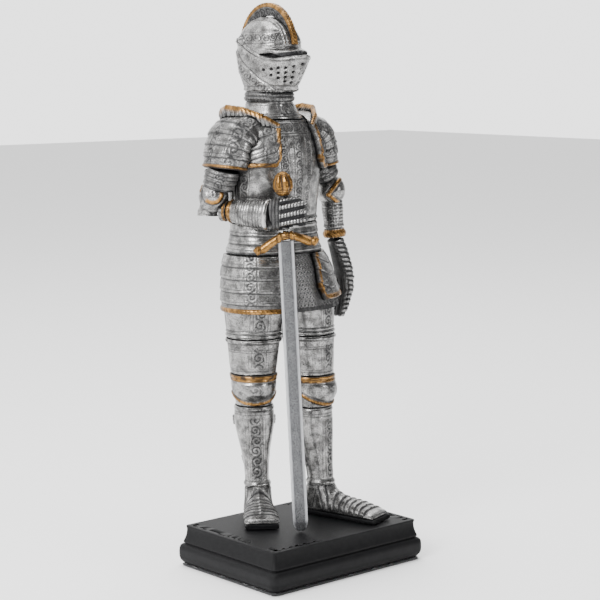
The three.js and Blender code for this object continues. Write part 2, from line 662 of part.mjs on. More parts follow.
function cuff(arm, grow = 0) {
  const flare = arm.sign < 0 ? 1.2 : -0.4;
  return forearm(arm, [
    [arm.split + 0.01, FOREARM_RADIUS - 1.1, FOREARM_RADIUS - 1.2],
    [mix(arm.split, 1, 0.35), FOREARM_RADIUS - 0.7 + 0.8 * flare, FOREARM_RADIUS - 0.8],
    [mix(arm.split, 1, 0.7), FOREARM_RADIUS - 0.4 + flare, FOREARM_RADIUS - 0.4],
    [0.985, FOREARM_RADIUS - 0.5 + flare, FOREARM_RADIUS - 0.8],
  ], grow);
}

// ---------------------------------------------------------------- sword
const POINT_AT = [-10.3, -11.6, BASE_TOP + GAP];
const GRIP_AT = [-17.7, -10.1, HAND_Z - 0.6];
const pointAt = new THREE.Vector3(...POINT_AT);
const gripAt = new THREE.Vector3(...GRIP_AT);
const bladeWay = gripAt.clone().sub(pointAt).normalize();
const EDGE_BEARING = -41.6; // bearing of the blade's edges, turned from +X
const edgeWay = X.clone().applyAxisAngle(UP, radians(EDGE_BEARING));
edgeWay.addScaledVector(bladeWay, -edgeWay.dot(bladeWay)).normalize();
const flatWay = bladeWay.clone().cross(edgeWay);

const GRIP_START = pointAt.distanceTo(gripAt) - GRIP_LENGTH / 2;
const GUARD_AT = GRIP_START - GAP - GUARD_THICKNESS / 2;
const POMMEL_AT = GRIP_START + GRIP_LENGTH + GAP;

// Point of the sword's own frame: along the edges, and up from the point of the blade.
function onSword(out, up) {
  return pointAt.clone().addScaledVector(edgeWay, out).addScaledVector(bladeWay, up).toArray();
}

const GUARD_CANT = 1.6; // the outer quillon stands this much above level, the inner one below
function guard(grow = 0) {
  const thick = GUARD_THICKNESS / 2;
  const half = [
    [0, 0, thick * 1.25], [0.2, -0.5, thick], [0.45, -2, thick * 1.05], [0.72, -4, thick * 1.15],
    [0.9, -4.3, thick], [1, -3.2, thick * 0.6],
  ];
  const mirrored = half.slice(1).reverse().map(([out, up, size]) => [-out, up, size]);
  const stations = [...mirrored, ...half].map(([out, up, size]) => [
    ...onSword(out * GUARD_HALF_LENGTH, GUARD_AT + up + GUARD_CANT * out), size * 1.1, size,
  ]);
  return sweep(stations, { side: flatWay, grow, segments: 12 });
}

function blade() {
  const half = BLADE_WIDTH / 2;
  const stations = [
    [0, 0.25 * half, 0.3], [0.3, 0.7 * half, 0.75], [1, half, 1],
  ].map(([t, width, thick]) => [...onSword(0, t * POINT_LENGTH), width, (thick * BLADE_THICKNESS) / 2]);
  stations.push([...onSword(0, GUARD_AT), half, BLADE_THICKNESS / 2]);
  return without(sweep(stations, { side: edgeWay, square: 1.5, segments: 12 }), guard(GAP));
}

function grip(grow = 0) {
  const ends = [GUARD_AT, GRIP_START + GRIP_LENGTH].map((up) => [...onSword(0, up), GRIP_RADIUS, GRIP_RADIUS]);
  return without(sweep(ends, { side: edgeWay, square: 2, grow, segments: 14 }), guard(grow ? 0 : GAP));
}

function pommel(grow = 0) {
  const stations = [
    [0, 0.55], [0.16, 0.82], [0.36, 1], [0.6, 0.96], [0.82, 0.72], [0.95, 0.4], [1, 0.15],
  ].map(([t, wide]) => [
    ...onSword(0, POMMEL_AT + t * POMMEL_HEIGHT), wide * POMMEL_HALF_WIDTH, wide * POMMEL_HALF_WIDTH,
  ]);
  return sweep(stations, { side: edgeWay, square: 2, grow, segments: 16 });
}

// ---------------------------------------------------------------- hands
const FIST_REACH = 14.6; // wrist to the knuckles of the closed fist
const FIST_HALF_HEIGHT = 6.3;
const FIST_HALF_DEPTH = 4.9;

function rightHand() {
  const wrist = new THREE.Vector3(...ARMS.right.wrist);
  const through = new THREE.Vector3(GRIP_AT[0], GRIP_AT[1], HAND_Z);
  const way = through.clone().sub(wrist).setZ(0).normalize();
  const stations = [
    [0, 0.94, 0.8], [0.15, 1, 0.95], [0.45, 1, 1], [0.8, 0.96, 0.9], [0.94, 0.9, 0.7], [1, 0.8, 0.5],
  ].map(([t, high, deep]) => {
    const at = wrist.clone().addScaledVector(way, t * FIST_REACH);
    return [at.x, at.y, mix(wrist.z, HAND_Z, Math.min(1, 2 * t)), high * FIST_HALF_HEIGHT, deep * FIST_HALF_DEPTH];
  });
  const fist = sweep(stations, { side: UP, square: 2.6 });
  const bore = [-1, 1].map((end) => onSword(0, GRIP_START + GRIP_LENGTH * (0.5 + end)));
  return without(fist, cuff(ARMS.right, GAP), rod(...bore, GRIP_RADIUS, GAP), pommel(GAP), guard(GAP));
}

const OPEN_HAND_LENGTH = 33.5;
function leftHand() {
  const [x, y, z] = ARMS.left.wrist;
  const stations = [
    [0.01, 0, 3.5, 3.4], [0.17, 2.2, 4.2, 3.5], [0.4, 4.6, 5, 3.2], [0.65, 5.2, 4.9, 2.8],
    [0.88, 3, 3.9, 2.2], [1, 1.2, 2.6, 1.4],
  ].map(([t, out, deep, thick]) => [x + out, y - t, z - t * OPEN_HAND_LENGTH, deep, thick]);
  return without(sweep(stations, { side: Y, square: 2.4, segments: 18 }), cuff(ARMS.left, GAP));
}

// Peg that carries an arm: from inside the cuirass into the pauldron.
function shoulderDowel(sign, grow = 0) {
  const z = SHOULDER_Z - 5;
  return rod([armX(sign, 11), ARM_Y, z], [armX(sign, HALF_SPAN), ARM_Y, z], ARM_DOWEL_RADIUS, grow);
}

// ---------------------------------------------------------------- assembly
const bothDowels = [-1, 1].map((sign) => shoulderDowel(sign, GAP));
const bothRods = Object.values(LEGS).map((leg) => legRod(leg, GAP));

addPiece('felt_pad', feltPad(), FELT);
addPiece('plinth', without(plinth(), ...bothRods), BLACK);

const LEG_PLATES = { greave, poleyn, lower_cuisse: lowerCuisse, upper_cuisse: upperCuisse };
for (const [hand, leg] of Object.entries(LEGS)) {
  const bore = legRod(leg, GAP);
  addPiece(`sole_${hand}`, without(sole(leg), bore), BLACK);
  addPiece(`sabaton_${hand}`, without(sabaton(leg), bore), SILVER);
  for (const [name, plate] of Object.entries(LEG_PLATES)) {
    // where the thighs meet, the left one is hollowed to clear the right one
    const neighbours = hand === 'left' ? [plate(LEGS.right, GAP)] : [];
    addPiece(`${name}_${hand}`, without(plate(leg), bore, ...neighbours), SILVER);
  }
  addPiece(`leg_rod_${hand}`, legRod(leg), ROD_STEEL);
}

addPiece('mail_skirt', without(mailSkirt(), ...bothRods), DARK_SILVER);
addPiece('tasset_right', hipPlate(-CULET_BEARING, -OPENING_RIGHT, RIGHT_HEM), SILVER);
addPiece('tasset_left', hipPlate(OPENING_LEFT, CULET_BEARING, LEFT_HEM), SILVER);
addPiece('culet', hipPlate(CULET_BEARING + SEAM, 360 - CULET_BEARING - SEAM, REAR_HEM), SILVER);
addPiece('fauld', fauld(), SILVER);
addPiece('breastplate', without(breastplate(), ...bothDowels, neckPeg(GAP)), SILVER);
addPiece('backplate', without(backplate(), ...bothDowels, neckPeg(GAP)), SILVER);
addPiece('gorget', without(gorget(), neckPeg(GAP)), SILVER);
addPiece('neck_ring', without(neckRing(), neckPeg(GAP)), DARK_SILVER);
addPiece('neck_peg', neckPeg(), ROD_STEEL);
addPiece('helmet_skull', skull(), SILVER);
addPiece('helmet_comb', comb(), GOLD);
addPiece('visor', visor(), SILVER);
addPiece('bevor', bevor(), SILVER);

for (const [hand, arm] of Object.entries(ARMS)) {
  const lames = pauldron(arm.sign).add(pauldronWing(arm));
  const shoulder = without(lames, cuirass(GAP), gorget(GAP), shoulderDowel(arm.sign, GAP));
  addPiece(`pauldron_${hand}`, shoulder, SILVER);
  addPiece(`haute_piece_${hand}`, hautePiece(arm.sign), GOLD);
  addPiece(`shoulder_dowel_${hand}`, shoulderDowel(arm.sign), ROD_STEEL);
  addPiece(`rerebrace_${hand}`, rerebrace(arm), SILVER);
  addPiece(`couter_${hand}`, couter(arm), SILVER);
  addPiece(`vambrace_${hand}`, vambrace(arm), SILVER);
  addPiece(`gauntlet_cuff_${hand}`, without(cuff(arm), cuirass(GAP)), SILVER);
}
addPiece('hand_right', rightHand(), DARK_SILVER);
addPiece('hand_left', leftHand(), DARK_SILVER);

addPiece('sword_blade', blade(), STEEL);
addPiece('sword_guard', guard(), GOLD);
addPiece('sword_grip', grip(), DARK_SILVER);
addPiece('sword_pommel', pommel(), GOLD);

export default statuette;
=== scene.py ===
"""Armoured knight statuette: detailed painted-metal skins round the CAD frame, in metres."""
import math

import bpy
import numpy as np
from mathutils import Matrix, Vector
from mathutils.bvhtree import BVHTree


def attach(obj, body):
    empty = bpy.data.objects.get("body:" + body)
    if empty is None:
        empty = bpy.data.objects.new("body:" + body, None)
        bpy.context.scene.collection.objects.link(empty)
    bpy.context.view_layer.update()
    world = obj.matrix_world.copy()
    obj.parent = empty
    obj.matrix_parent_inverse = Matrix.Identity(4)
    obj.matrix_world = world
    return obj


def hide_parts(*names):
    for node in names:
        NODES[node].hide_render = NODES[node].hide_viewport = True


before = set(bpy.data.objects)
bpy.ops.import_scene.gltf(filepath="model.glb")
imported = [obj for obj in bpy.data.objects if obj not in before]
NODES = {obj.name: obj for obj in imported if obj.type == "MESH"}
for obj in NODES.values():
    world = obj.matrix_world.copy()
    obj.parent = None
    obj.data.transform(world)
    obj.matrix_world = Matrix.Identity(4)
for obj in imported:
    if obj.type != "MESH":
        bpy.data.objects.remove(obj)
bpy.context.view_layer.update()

MM = 0.001
DETAIL = 0.28  # spacing of the points of a skin, in mm
TAU = 2 * math.pi


# ---------------------------------------------------------------- small numeric tools
def unit(vector):
    vector = np.asarray(vector, float)
    return vector / np.linalg.norm(vector)


def smooth(edge0, edge1, x):
    """0 below edge0, 1 above edge1, smooth between them."""
    t = np.clip((x - edge0) / (edge1 - edge0), 0, 1)
    return t * t * (3 - 2 * t)


def ridge(x, width):
    """A round bump of height 1 at x = 0, width wide."""
    return np.exp(-((x / (0.42 * width)) ** 2))


def hash3(i, j, k):
    n = (i * 374761393 + j * 668265263 + k * 2147483647) & 0x7FFFFFFF
    n = ((n ^ (n >> 13)) * 1274126177) & 0x7FFFFFFF
    return ((n ^ (n >> 16)) & 0xFFFF) / 65535.0


def noise(points, size):
    """Smooth value noise from 0 to 1 whose blobs are size mm across."""
    p = np.asarray(points) / size + 311.0
    base = np.floor(p).astype(np.int64)
    f = p - base
    f = f * f * (3 - 2 * f)
    total = np.zeros(p.shape[:-1])
    for dx in (0, 1):
        for dy in (0, 1):
            for dz in (0, 1):
                weight = (
                    np.where(dx, f[..., 0], 1 - f[..., 0])
                    * np.where(dy, f[..., 1], 1 - f[..., 1])
                    * np.where(dz, f[..., 2], 1 - f[..., 2])
                )
                total += weight * hash3(base[..., 0] + dx, base[..., 1] + dy, base[..., 2] + dz)
    return total


def blur_rows(values, sigma):
    """Gaussian blur along the first axis, with the ends held."""
    if sigma < 0.3:
        return values
    reach = int(3 * sigma) + 1
    kernel = np.exp(-0.5 * (np.arange(-reach, reach + 1) / sigma) ** 2)
    kernel /= kernel.sum()
    padded = np.concatenate([values[:1]] * reach + [values] + [values[-1:]] * reach)
    return sum(k * padded[i : i + len(values)] for i, k in enumerate(kernel))


# ---------------------------------------------------------------- skins
class Skin:
    """Points and faces over a piece, with its relief and paint.

    height is in mm along the normal; dark, gold and bright are paint masks from 0 to 1, dark including
    painted shade and bright including painted highlights;
    up runs along the piece in mm, from its first end."""

    def __init__(self, points, normals, faces, up, grid=None):
        self.points = points
        self.normals = normals
        self.faces = faces
        self.up = up
        self.grid = grid
        self.height = np.zeros(len(points))
        self.dark = np.zeros(len(points))
        self.gold = np.zeros(len(points))
        self.bright = np.zeros(len(points))

    def carve(self, depth, mask, dark=1.0):
        self.height -= depth * mask
        self.dark = np.maximum(self.dark, dark * mask)

    def swell(self, rise, mask):
        self.height += rise * mask

    def gild(self, mask):
        self.gold = np.maximum(self.gold, mask)

    # Lighter, glossier paint where the mask is, with its dark cleared: partly a glossy finish, partly a
    # painted highlight.
    def polish_and_highlight(self, mask):
        self.bright = np.maximum(self.bright, mask)
        self.dark *= 1 - mask

    def round(self, direction):
        """Signed distance in mm round a wrapped piece from where it faces a direction."""
        rows, columns = self.grid
        p = self.points[: rows * columns].reshape(rows, columns, 3)
        away = p - p.mean(axis=1, keepdims=True)
        start = int(np.argmax((away[rows // 2] @ np.asarray(direction, float))))
        steps = np.linalg.norm(np.roll(p, -1, 1) - p, axis=2)
        run = np.concatenate([np.zeros((rows, 1)), np.cumsum(steps, axis=1)], axis=1)
        total = run[:, -1:]
        run = run[:, :-1] - run[:, start : start + 1]
        run = (run + total / 2) % total - total / 2
        return np.concatenate([run.ravel(), np.zeros(len(self.points) - rows * columns)])

    def facing(self, direction, edge0=-0.1, edge1=0.25):
        """1 where the surface faces a direction, 0 where it turns away."""
        return smooth(edge0, edge1, self.normals @ unit(direction))

    @property
    def length(self):
        return self.up.max()


def tree_of(*names):
    """Search tree over the surfaces of CAD nodes, in mm."""
    points = []
    faces = []
    for name in names:
        mesh = NODES[name].data
        start = len(points)
        points += [v.co / MM for v in mesh.vertices]
        faces += [[start + i for i in f.vertices] for f in mesh.polygons]
    return BVHTree.FromPolygons(points, faces)


def grid_skin(points):
    """Closed skin from a grid of points, rows along it and columns round it, capped at its ends."""
    rows, columns = points.shape[:2]
    around = np.roll(points, -1, 1) - np.roll(points, 1, 1)
    along = np.gradient(points, axis=0)
    normal = np.cross(around, along)
    normal /= np.maximum(np.linalg.norm(normal, axis=2, keepdims=True), 1e-9)
    outward = points - points.mean(axis=1, keepdims=True)
    flip = (normal * outward).sum() < 0
    if flip:
        normal = -normal
    steps = np.linalg.norm(np.diff(points, axis=0), axis=2).mean(axis=1)
    up = np.repeat(np.concatenate([[0], np.cumsum(steps)]), columns)
    i = np.arange(rows - 1)[:, None] * columns
    j = np.arange(columns)[None, :]
    k = (j + 1) % columns
    a, b, c, d = (x.ravel() for x in (i + j, i + k, i + columns + k, i + columns + j))
    faces = np.stack([a, d, c, b] if flip else [a, b, c, d], 1).tolist()
    all_points = [points.reshape(-1, 3)]
    all_normals = [normal.reshape(-1, 3)]
    ups = [up]
    count = rows * columns
    for row, sign in ((0, -1), (rows - 1, 1)):
        ring = points[row]
        middle = ring.mean(axis=0)
        way = unit(along[row].mean(axis=0)) * sign
        edge = np.arange(columns) + row * columns
        turn = (sign > 0) == flip
        for share in (0.9, 0.5):
            inner = middle + (ring - middle) * share
            all_points.append(inner)
            all_normals.append(np.tile(way, (columns, 1)))
            ups.append(np.full(columns, up[row * columns]))
            new = np.arange(columns) + count
            count += columns
            nxt = np.roll(edge, -1), np.roll(new, -1)
            quad = [edge, nxt[0], nxt[1], new]
            faces += np.stack(quad[::-1] if not turn else quad, 1)[:, ::1].tolist()
            edge = new
        all_points.append(middle[None])
        all_normals.append(way[None])
        ups.append([up[row * columns]])
        tri = [edge, np.roll(edge, -1), np.full(columns, count)]
        faces += np.stack(tri[::-1] if not turn else tri, 1).tolist()
        count += 1
    return Skin(
        np.concatenate(all_points), np.concatenate(all_normals), faces, np.concatenate(ups), (rows, columns)
    )


def wrap(
    names, path, side=(0, -1, 0), harmonics=9, rough_rows=34, detail=DETAIL, reach=60.0, blur=0.8, level=True
):
    """Skin round CAD nodes: rays from a path through them, smoothed over the facets.

    path is a list of points; side is roughly the direction of column 0. Rays are level, or
    square to the path if level is False."""
    tree = tree_of(*([names] if isinstance(names, str) else names))
    path = np.asarray(path, float)
    knots = np.linspace(0, 1, len(path))
    share = np.linspace(0, 1, rough_rows)
    spine = np.stack([np.interp(share, knots, path[:, i]) for i in range(3)], 1)
    if len(path) > 2:
        inner = blur_rows(spine, 2.0)
        spine = spine + (inner - spine) * np.minimum(1, np.minimum(share, 1 - share) * 8)[:, None]
    ways = np.gradient(spine, axis=0)
    columns = 72
    radii = np.full((rough_rows, columns), np.nan)
    first = np.zeros((rough_rows, 3))
    second = np.zeros((rough_rows, 3))
    for r in range(rough_rows):
        way = np.array([0, 0, 1.0]) if level else unit(ways[r])
        a = unit(np.asarray(side, float) - way * np.dot(side, way))
        b = np.cross(way, a)
        first[r], second[r] = a, b
        for c in range(columns):
            angle = TAU * c / columns
            out = a * math.cos(angle) + b * math.sin(angle)
            hit = tree.ray_cast(Vector(spine[r] + out * reach), Vector(-out), reach)
            if hit[0] is not None:
                radii[r, c] = reach - hit[3]
    for r in range(rough_rows):
        gaps = np.isnan(radii[r])
        if gaps.any() and not gaps.all():
            good = np.where(~gaps)[0]
            radii[r, gaps] = np.interp(np.where(gaps)[0], good, radii[r, good], period=columns)
    lost = np.isnan(radii).all(axis=1)
    good = np.where(~lost)[0]
    for r in np.where(lost)[0]:
        radii[r] = radii[good[np.argmin(np.abs(good - r))]]
    radii = blur_rows(radii, blur)
    girth = TAU * radii.mean()
    length = np.linalg.norm(np.diff(spine, axis=0), axis=1).sum()
    fine_columns = int(max(96, girth / detail)) // 2 * 2
    fine_rows = int(max(10, length / detail))
    spectrum = np.fft.rfft(radii, axis=1)[:, :harmonics]
    spectrum *= np.cos(np.linspace(0, math.pi / 2, harmonics + 1)[:-1]) ** 0.5
    wide = np.zeros((rough_rows, fine_columns // 2 + 1), complex)
    wide[:, :harmonics] = spectrum
    fine = np.fft.irfft(wide, fine_columns, axis=1) * fine_columns / columns
    position = np.linspace(0, rough_rows - 1, fine_rows)

    def rows(values):
        i = np.clip(np.floor(position).astype(int), 0, rough_rows - 2)
        t = (position - i)[:, None]
        before, here = values[np.maximum(i - 1, 0)], values[i]
        there, after = values[i + 1], values[np.minimum(i + 2, rough_rows - 1)]
        turn = (2 * before - 5 * here + 4 * there - after) * t**2
        return 0.5 * (2 * here + (there - before) * t + turn + (3 * here - before - 3 * there + after) * t**3)

    fine = rows(fine)[..., None]
    middle, a, b = (rows(v)[:, None] for v in (spine, first, second))
    angle = (TAU * np.arange(fine_columns) / fine_columns)[None, :, None]
    return grid_skin(middle + a * fine * np.cos(angle) + b * fine * np.sin(angle))


def soften(points, edges, rounds):
    """Smooths a mesh's points without shrinking it."""
    count = np.bincount(edges.ravel(), minlength=len(points))[:, None]
    for _ in range(rounds):
        for step in (0.55, -0.57):
            total = np.zeros_like(points)
            for axis in range(3):
                total[:, axis] = np.bincount(edges[:, 0], points[edges[:, 1], axis], len(points))
                total[:, axis] += np.bincount(edges[:, 1], points[edges[:, 0], axis], len(points))
            points = points + step * (total / count - points)
    return points


def cast(name, rounds=14, size=DETAIL):
    """Skin over any CAD node: even small faces, softened like a casting."""
    temp = bpy.data.objects.new("temp", NODES[name].data.copy())
    bpy.context.scene.collection.objects.link(temp)
    remesh = temp.modifiers.new("remesh", "REMESH")
    remesh.mode = "VOXEL"
    remesh.voxel_size = size * MM
    mesh = bpy.data.meshes.new_from_object(temp.evaluated_get(bpy.context.evaluated_depsgraph_get()))
    points = np.zeros(len(mesh.vertices) * 3)
    mesh.vertices.foreach_get("co", points)
    points = points.reshape(-1, 3) / MM
    edges = np.zeros(len(mesh.edges) * 2, int)
    mesh.edges.foreach_get("vertices", edges)
    points = soften(points, edges.reshape(-1, 2), rounds)
    mesh.vertices.foreach_set("co", points.ravel())
    mesh.update()
    normals = np.zeros(len(points) * 3)
    mesh.vertex_normals.foreach_get("vector", normals)
    faces = [list(f.vertices) for f in mesh.polygons]
    bpy.data.objects.remove(temp)
    up = points[:, 2]
    return Skin(points, normals.reshape(-1, 3), faces, up - up.min())


# ---------------------------------------------------------------- relief patterns
def near_lines(x, places, width):
    """1 on each line of a list of places, fading over width."""
    return np.max([ridge(x - place, width) for place in places], axis=0)


def scroll(x, y, width):
    """Running vine of spirals in a band: 1 in its recesses, 0 on its stems."""
    pitch = 1.15 * width
    turn = np.floor(y / pitch)
    side = np.where(turn % 2 == 0, 1.0, -1.0)
    dx = x - side * 0.07 * width
    dy = y - (turn + 0.5) * pitch
    radius = np.hypot(dx, dy)
    angle = np.arctan2(dy, dx * side)
    curl = np.cos(angle - TAU * radius / (0.36 * width))
    leaf = np.cos(3 * angle + TAU * radius / (0.5 * width))
    inside = smooth(0.62 * width, 0.5 * width, radius)
    value = inside * curl + (1 - inside) * leaf
    return smooth(-0.15, 0.35, value)


def etched_band(skin, x, y, width, mask=1.0, depth=0.16, dark=0.85):
    """Etched scroll band with a raised border line on each side; x runs across it, y along it."""
    inside = smooth(width / 2, width / 2 - 0.25, np.abs(x)) * mask
    skin.carve(depth, inside * scroll(x, y, width * 0.86), dark)
    skin.dark = np.maximum(skin.dark, 0.22 * inside)
    for offset in (-width / 2 - 0.15, width / 2 + 0.15):
        border = ridge(x - offset, 0.5) * mask
        skin.swell(0.12, border)
        skin.carve(0.1, ridge(x - offset * 1.0 - math.copysign(0.5, offset), 0.4) * mask, 0.7)


def lames(skin, y, edges, step=0.34, mask=1.0, line=True):
    """Overlapping plates: y is the distance along them and edges the places of their lower lips."""
    edges = sorted(edges)
    for n, edge in enumerate(edges):
        above = edges[n + 1] if n + 1 < len(edges) else edge + (edges[-1] - edges[0]) / max(1, len(edges) - 1)
        slope = np.clip((above - y) / (above - edge), 0, 1) * smooth(edge - 0.12, edge + 0.12, y)
        slope = np.where(y > above, 0, slope)
        skin.height += step * slope * mask
        skin.carve(0.16, ridge(y - edge + 0.3, 0.85) * mask, 1.0)
        # Painted shade on the plate just below each lip.
        shade_below_lip = smooth(-1.5, -0.3, y - edge) * smooth(0.0, -0.1, y - edge) * mask
        skin.dark = np.maximum(skin.dark, 0.45 * shade_below_lip)
        if line:
            skin.carve(0.09, ridge(y - edge - 1.05, 0.42) * mask, 0.75)


def rope(skin, x, along, width=1.3, rise=0.4, mask=1.0, gold=1.0, pitch=1.5):
    """Roped edge: a round bead with slanting grooves; x runs across it."""
    bead = np.sqrt(np.clip(1 - (x / (width / 2)) ** 2, 0, 1)) * mask
    groove = smooth(0.35, 0.95, np.cos(TAU * (along + 0.5 * x) / pitch)) * (bead > 0)
    skin.swell(rise, bead)
    skin.carve(0.12, groove * (bead > 0.1), 0.5)
    skin.gild(gold * (bead > 0.05))
    skin.carve(0.1, ridge(np.abs(x) - width / 2 - 0.12, 0.4) * mask, 0.8)


def rivets(skin, places, radius=0.45, rise=0.3, gold=0.0):
    """Round rivet heads at points near the surface."""
    for place in np.atleast_2d(places):
        away = np.linalg.norm(skin.points - place, axis=1)
        dome = np.sqrt(np.clip(1 - (away / radius) ** 2, 0, 1))
        skin.swell(rise, dome)
        skin.dark = np.maximum(skin.dark * (away > radius), 0.8 * ridge(away - radius - 0.14, 0.4))
        skin.gold = np.maximum(skin.gold, gold * (away < radius))


def mail(skin, x, y, mask=1.0, pitch=1.7):
    """Rows of small linked rings."""
    row = np.floor(y / pitch)
    lean = np.where(row % 2 == 0, 1, -1)
    dx = (x / pitch + 0.5 * (row % 2)) % 1 - 0.5
    dy = (y / pitch) % 1 - 0.5
    radius = np.hypot(dx * 1.15, dy * 0.95 + 0.12 * lean * dx)
    wire = np.exp(-(((radius - 0.4) / 0.17) ** 2))
    skin.swell(0.42, wire * mask)
    skin.dark = np.maximum(skin.dark, mask * smooth(0.8, 0.3, wire))
    # Lighter, glossier crests on the rings, partly a painted highlight.
    skin.bright = np.maximum(skin.bright, mask * smooth(0.8, 0.95, wire))


# Lines and spots of the front's relief are laid out on a flat sheet square to the view from the
# figure's front right quarter, and carried to the surface in perspective from that view's eye. A
# place on the sheet is (across, height): mm to the right of the figure's axis, and mm up the sheet
# with the eye's aim at its true height.
QUARTER_AZIMUTH = math.radians(-41.6)
QUARTER_ELEVATION = math.radians(7.5)
EYE_DISTANCE = 723.0
EYE_AIM = np.array([0, 0, 115.0])
SHEET_DISTANCE = 727.459  # from the eye, so just behind the figure's axis
BACK = np.array(
    [
        math.sin(QUARTER_AZIMUTH) * math.cos(QUARTER_ELEVATION),
        -math.cos(QUARTER_AZIMUTH) * math.cos(QUARTER_ELEVATION),
        math.sin(QUARTER_ELEVATION),
    ]
)
RIGHTWARD = np.array([math.cos(QUARTER_AZIMUTH), math.sin(QUARTER_AZIMUTH), 0])
UPWARD = np.cross(BACK, RIGHTWARD)


def layout(points):
    """Places of points on the sheet: across it, and height."""
    d = points - (BACK * EYE_DISTANCE + EYE_AIM)
    depth = -(d @ BACK)
    return SHEET_DISTANCE * (d @ RIGHTWARD) / depth, EYE_AIM[2] + SHEET_DISTANCE * (d @ UPWARD) / depth


def stroke(points, line):
    """Signed distance in mm from a line drawn on the sheet, and the distance along it."""
    across, height = layout(points)
    line = np.asarray(line, float)
    best = np.full(len(points), 1e9)
    sign = np.ones(len(points))
    along = np.zeros(len(points))
    run = 0.0
    for (x0, y0), (x1, y1) in zip(line[:-1], line[1:]):
        dx, dy = x1 - x0, y1 - y0
        size = math.hypot(dx, dy)
        t = np.clip(((across - x0) * dx + (height - y0) * dy) / size**2, 0, 1)
        away = np.hypot(across - x0 - t * dx, height - y0 - t * dy)
        closer = away < best
        best = np.where(closer, away, best)
        sign = np.where(closer, np.sign((height - y0) * dx - (across - x0) * dy), sign)
        along = np.where(closer, run + t * size, along)
        run += size
    return best * sign, along


def curve(points, count=24):
    """More points along a smooth line through a few."""
    p = np.asarray(points, float)
    p = np.concatenate([[2 * p[0] - p[1]], p, [2 * p[-1] - p[-2]]])
    out = []
    for i in range(1, len(p) - 2):
        for t in np.linspace(0, 1, count // (len(p) - 3) + 2)[:-1]:
            a, b, c, d = p[i - 1 : i + 3]
            turn = (2 * a - 5 * b + 4 * c - d) * t**2
            out.append(0.5 * (2 * b + (c - a) * t + turn + (3 * b - a - 3 * c + d) * t**3))
    out.append(p[-2])
    return np.array(out)


# ---------------------------------------------------------------- paint
def node(tree, kind, **values):
    made = tree.nodes.new(kind)
    for name, value in values.items():
        if hasattr(made, name):
            setattr(made, name, value)
        else:
            made.inputs[name.replace("_", " ")].default_value = value
    return made


def mix_colour(tree, factor, first, second):
    made = tree.nodes.new("ShaderNodeMix")
    made.data_type = "RGBA"
    for place, value in ((0, factor), (6, first), (7, second)):
        if isinstance(value, bpy.types.NodeSocket):
            tree.links.new(value, made.inputs[place])
        elif place == 0:
            made.inputs[place].default_value = value
        else:
            made.inputs[place].default_value = (*value, 1)
    return made.outputs[2]


def maths(tree, operation, first, second=0.0, third=0.0):
    made = tree.nodes.new("ShaderNodeMath")
    made.operation = operation
    for place, value in enumerate((first, second, third)):
        if isinstance(value, bpy.types.NodeSocket):
            tree.links.new(value, made.inputs[place])
        else:
            made.inputs[place].default_value = value
    return made.outputs[0]


def noise_of(tree, size, detail=4.0, roughness=0.55):
    """Noise output whose blobs are size mm across."""
    where = tree.nodes.new("ShaderNodeTexCoord")
    made = tree.nodes.new("ShaderNodeTexNoise")
    made.inputs["Scale"].default_value = 1 / (size * MM)
    made.inputs["Detail"].default_value = detail
    made.inputs["Roughness"].default_value = roughness
    tree.links.new(where.outputs["Object"], made.inputs["Vector"])
    return made.outputs["Fac"]


def remap(tree, value, low0, high0, low1=0.0, high1=1.0):
    made = tree.nodes.new("ShaderNodeMapRange")
    made.interpolation_type = "SMOOTHSTEP"
    tree.links.new(value, made.inputs["Value"])
    for name, number in zip(("From Min", "From Max", "To Min", "To Max"), (low0, high0, low1, high1)):
        made.inputs[name].default_value = number
    return made.outputs["Result"]


